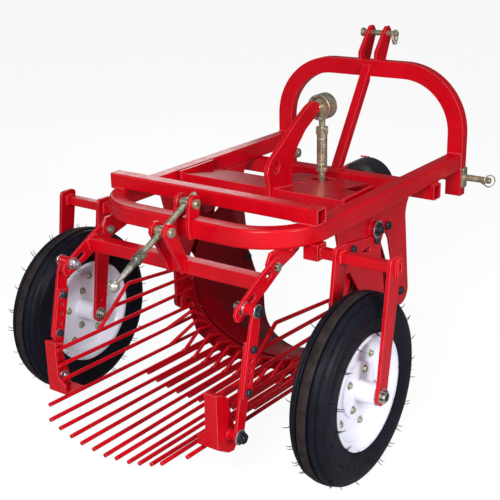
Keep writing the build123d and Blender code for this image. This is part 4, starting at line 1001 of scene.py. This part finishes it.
def ridge_tree():
    """Sweeps a round section along the host's line."""
    tree, g_in, g_out = geometry_tree("thread ridge", [
        ("Ridge", "NodeSocketFloat", 0.0009),
        ("Finish", "NodeSocketMaterial", None),
    ])
    line = tree.nodes.new("GeometryNodeMeshToCurve")
    section = add_node(tree, "GeometryNodeCurvePrimitiveCircle", Resolution=5)
    sweep = tree.nodes.new("GeometryNodeCurveToMesh")
    sweep.inputs["Fill Caps"].default_value = True
    wire(
        tree,
        (g_in, "Geometry", line, "Mesh"),
        (g_in, "Ridge", section, "Radius"),
        (line, "Curve", sweep, "Curve"),
        (section, "Curve", sweep, "Profile Curve"),
    )
    end_tree(tree, g_in, g_out, sweep.outputs["Mesh"])
    return tree


def helix_mesh(start, end, radius, pitch, steps=14):
    """Points of a helix round the line from start to end, steps of them a turn."""
    along = end - start
    way = along.normalized()
    side, up = square_to(way)
    count = int(along.length / pitch * steps)
    points = [
        round_point(start + way * (pitch * i / steps), side, up, radius, math.tau * i / steps)
        for i in range(count + 1)
    ]
    mesh = bpy.data.meshes.new("helix")
    mesh.from_pydata([tuple(p) for p in points], [(i, i + 1) for i in range(count)], [])
    return mesh


upper, lower = (
    Vector((SCREW_X, at.y, at.z)) for at in (anchor("screw_nut_turn"), anchor("screw_block_turn"))
)
screw_way = (lower - upper).normalized()
trunnion = screw_way * TRUNNION_HALF
THREAD_RIDGE = ridge_tree()
for name, start, end in (
    ("thread_between", upper + trunnion, lower - trunnion),
    ("thread_top", upper - screw_way * TOP_LENGTH, upper - trunnion),
    ("thread_below", lower + trunnion, lower + screw_way * BELOW_LENGTH),
):
    mesh = grown(helix_mesh(start, end, THREAD_RADIUS, THREAD_PITCH), THREAD_RIDGE,
                 Ridge=THREAD_RIDGE_RADIUS, Finish=finishes["zinc_yellow"])
    piece_from(name, mesh, "screw", "zinc_yellow")
    print(name, round((end - start).length, 4), "m long")


# %% [markdown]
# A turned part is a stack of rings along its axis, so the handle of the screw
# and the rod's sleeve are each a short table of lengths and radii. A ring may be
# six-sided instead of round, which gives a nut in the same table.

# %% Turned parts with six-sided lengths
SHARP_EDGE = 28      # degrees


def ring_stack(rings, origin, way, steps=36):
    """A closed solid of (distance, radius, shape) rings in mm along an axis."""
    way = Vector(way).normalized()
    side, up = square_to(way)
    bm = bmesh.new()
    made = []
    for distance, radius, shape in rings:
        ring = []
        for i in range(steps):
            angle = math.tau * i / steps
            reach = radius / 1000
            if shape == "hex":
                reach *= math.cos(math.pi / 6) / math.cos(angle % (math.pi / 3) - math.pi / 6)
            at = origin + way * (distance / 1000)
            ring.append(bm.verts.new(round_point(at, side, up, reach, angle)))
        made.append(ring)
    for low, high, (_, _, shape) in zip(made, made[1:], rings):
        join_rings(bm, low, high, smooth=shape != "hex")
    cap_ends(bm, made)
    return mesh_of(bm, "ring stack", crease=SHARP_EDGE)


def round_rings(*pairs):
    """Round rings from (distance, radius) pairs."""
    return [(distance, radius, "round") for distance, radius in pairs]


def hex_rings(*pairs):
    """Six-sided rings from (distance, radius) pairs."""
    return [(distance, radius, "hex") for distance, radius in pairs]


# %% Screw, collar, handle and ball
BALL_AT, BALL_RADIUS, HANDLE_END = 340.0, 17.0, 5.8
BALL_STEPS, BALL_TIP = 12, 0.06              # the ball's last ring stays this angle short
HANDLE_LENGTH = 60                           # this much before the ball has the bright finish
screw_rings = [
    *round_rings((-40, 6.4), (-38.6, 7.9), (211.5, 7.9)),
    *hex_rings((211.6, 14.0), (213, 15.4), (227, 15.4), (228.4, 14.0)),
    *round_rings(
        (228.5, 11.0), (230.2, 11.0), (230.3, 13.8), (231.8, 15.0), (244.4, 15.0), (246, 13.8),
        (246.1, 11.0), (252, 10.8), (270, 9.6), (292, 8.0), (312, 6.5),
    ),
]
ball_start = math.asin(HANDLE_END / BALL_RADIUS)
for step in range(BALL_STEPS + 1):
    angle = ball_start + (math.pi - BALL_TIP - ball_start) * step / BALL_STEPS
    screw_rings += round_rings(
        (BALL_AT - BALL_RADIUS * math.cos(angle), BALL_RADIUS * math.sin(angle))
    )
mesh = ring_stack(screw_rings, upper, screw_way)
screw_piece = piece_from(
    "depth_screw_turned", mesh, "screw", "zinc_yellow", [screw_zinc, handle_zinc]
)
for face in mesh.polygons:
    distance = (face.center - upper).dot(screw_way) * 1000
    if distance > BALL_AT - BALL_RADIUS - HANDLE_LENGTH:
        face.material_index = 1
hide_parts("depth_screw")
print("screw rings:", len(screw_rings))

# %% Sleeve of the connecting rod
sleeve_low, sleeve_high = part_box("rod_sleeve")
sleeve_middle = (sleeve_low + sleeve_high) / 2
sleeve_foot = Vector((sleeve_middle.x, sleeve_middle.y, sleeve_low.z))
sleeve_long = (sleeve_high.z - sleeve_low.z) * 1000
sleeve_rings = [
    (0, 12, "round"),
    *hex_rings((0.1, 17.0), (1.4, 18.6), (13, 18.6), (14.4, 17.0)),
    *round_rings((14.5, 12.0), (16.0, 12.0), (16.1, 15.2), (17.8, 17.2)),
]
for groove in (27.0, sleeve_long - 14):
    sleeve_rings += round_rings(
        (groove, 17.2), (groove + 0.8, 16.4), (groove + 1.8, 16.4), (groove + 2.6, 17.2)
    )
sleeve_rings += round_rings((sleeve_long - 2, 17.2), (sleeve_long - 0.2, 15.0), (sleeve_long, 12.0))
mesh = ring_stack(sleeve_rings, sleeve_foot, (0, 0, 1))
sleeve_piece = piece_from("rod_sleeve_turned", mesh, "drive_rod", "zinc_yellow")
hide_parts("rod_sleeve")

HOLE_ANGLE = math.radians(-112)              # the sleeve's cross hole faces the rear
HOLE_UP, HOLE_OUT, HOLE_STEPS = 0.064, 0.01695, 18
outward = Vector((math.cos(HOLE_ANGLE), math.sin(HOLE_ANGLE), 0))
hole_at = sleeve_foot + Vector((0, 0, HOLE_UP)) + outward * HOLE_OUT
# the hole is a thin dark disc on the sleeve: painted shade in place of a bored hole
mesh = ring_stack(round_rings((0, 3.2), (0.6, 3.2), (0.61, 1.2)), hole_at, outward, HOLE_STEPS)
piece_from("sleeve_cross_hole", mesh, "drive_rod", "dark_bolt")

# %% Set screw of the drum
DRUM_RING, SCREW_TURN, DRUM_FACE = 0.037, math.radians(128), 562.0
drum_low, drum_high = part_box("lever_drum")
drum_centre = (drum_low + drum_high) / 2
print("drum centre", [round(v, 4) for v in drum_centre])
screw_at = drum_centre + Vector((math.cos(SCREW_TURN), 0, math.sin(SCREW_TURN))) * DRUM_RING
screw_at.y = from_axle(0, DRUM_FACE, 0).y
set_rings = round_rings((0, 3.6), (0.5, 3.6)) + hex_rings((0.51, 2.4), (0.2, 2.2))
mesh = ring_stack(set_rings, screw_at, (0, -1, 0), 24)
piece_from("drum_set_screw", mesh, "cradle", "dark_bolt")


# %% [markdown]
# ## Camera, floor and light
# The machine is seen from behind and to the right, and from above. Five soft
# boxes round it and a dim world give a studio look. The floor and the backdrop
# are white to the camera only, so one melts into the other.

# %% Camera
def look_from(position, target, lens, roll_degrees):
    """A camera on a tripod: aimed at a target, then rolled a little about its own axis."""
    data = bpy.data.cameras.new("camera")
    data.lens = lens
    data.sensor_width = 36
    data.clip_end = 60
    camera = bpy.data.objects.new("camera", data)
    scene.collection.objects.link(camera)
    aim = (target - position).to_track_quat("-Z", "Y").to_matrix().to_4x4()
    roll = Matrix.Rotation(math.radians(roll_degrees), 4, "Z")
    camera.matrix_world = Matrix.Translation(position) @ aim @ roll
    scene.camera = camera


CAMERA_AZIMUTH, CAMERA_ELEVATION = math.radians(36.15), math.radians(19.47)
CAMERA_DISTANCE, CAMERA_LENS, CAMERA_ROLL = 2.726, 70.4, -1.31
CAMERA_TARGET = Vector((0.1769, AXLE_Y, 0.6025))
toward = Vector((
    math.sin(CAMERA_AZIMUTH) * math.cos(CAMERA_ELEVATION),
    -math.cos(CAMERA_AZIMUTH) * math.cos(CAMERA_ELEVATION),
    math.sin(CAMERA_ELEVATION),
))
look_from(CAMERA_TARGET + toward * CAMERA_DISTANCE, CAMERA_TARGET, CAMERA_LENS, CAMERA_ROLL)
print("camera at", [round(v, 3) for v in scene.camera.location])

# %% Floor
FLOOR_HALF, FLOOR_GLOW = 30, 0.92
floor_mesh = bpy.data.meshes.new("floor")
floor_mesh.from_pydata(
    [(FLOOR_HALF * x, FLOOR_HALF * y, 0) for x, y in ((-1, -1), (1, -1), (1, 1), (-1, 1))],
    [], [(0, 1, 2, 3)],
)
floor = bpy.data.objects.new("floor", floor_mesh)
scene.collection.objects.link(floor)
floor_paint = bpy.data.materials.new("pale floor")
floor_paint.use_nodes = True
# it glows for the camera but throws little light back up on the machine
paper = floor_paint.node_tree
paper_face = paper.nodes["Principled BSDF"]
paper_face.inputs["Roughness"].default_value = 0.9
paper_face.inputs["Specular IOR Level"].default_value = 0.0
eye = paper.nodes.new("ShaderNodeLightPath")
paper_tone = add_node(paper, "ShaderNodeMix", {"data_type": "RGBA"})
paper_tone.inputs["A"].default_value = (0.38, 0.38, 0.40, 1)
paper_tone.inputs["B"].default_value = (0.13, 0.13, 0.13, 1)
glow = add_node(paper, "ShaderNodeMath", {"operation": "MULTIPLY"})
glow.inputs[1].default_value = FLOOR_GLOW
paper_face.inputs["Emission Color"].default_value = (1, 1, 1, 1)
wire(
    paper,
    (eye, "Is Camera Ray", paper_tone, "Factor"),
    (paper_tone, "Result", paper_face, "Base Color"),
    (eye, "Is Camera Ray", glow, 0),
    (glow, "Value", paper_face, "Emission Strength"),
)
floor_mesh.materials.append(floor_paint)

# %% Light
world = bpy.data.worlds.new("studio")
scene.world = world
world.use_nodes = True
sky = world.node_tree
fill = sky.nodes["Background"]
fill.inputs["Color"].default_value = (0.86, 0.90, 1.0, 1)
fill.inputs["Strength"].default_value = 0.12
backdrop = add_node(sky, "ShaderNodeBackground", Color=(1.0, 1.0, 1.0, 1), Strength=1.0)
seen = sky.nodes.new("ShaderNodeLightPath")
choice = sky.nodes.new("ShaderNodeMixShader")
wire(
    sky,
    (seen, "Is Camera Ray", choice, "Fac"),
    (fill, "Background", choice, 1),
    (backdrop, "Background", choice, 2),
    (choice, "Shader", sky.nodes["World Output"], "Surface"),
)
scene.view_settings.view_transform = "Standard"


def lamp(name, position, size, power, target=Vector((0, -0.2, 0.5))):
    """A soft box: a square area light that faces the machine."""
    data = bpy.data.lights.new(name, "AREA")
    data.energy = power
    data.size = size
    light = bpy.data.objects.new(name, data)
    scene.collection.objects.link(light)
    aim = (target - position).to_track_quat("-Z", "Y").to_matrix().to_4x4()
    light.matrix_world = Matrix.Translation(position) @ aim


LAMPS = {
    # name: (place, size in m, power in W)
    "soft_box_over": ((0.4, 0.2, 3.4), 1.6, 16),
    "soft_box_camera": ((1.3, -3.2, 2.2), 1.3, 128),
    "soft_box_right": ((3.4, -0.9, 1.4), 1.0, 66),
    "soft_box_left": ((-2.6, -2.2, 2.0), 0.7, 14),
    "soft_box_behind": ((-3.0, 3.0, 1.9), 1.3, 16),
}
for name, (position, size, power) in LAMPS.items():
    lamp(name, Vector(position), size, power)
print("lamps:", len(LAMPS))
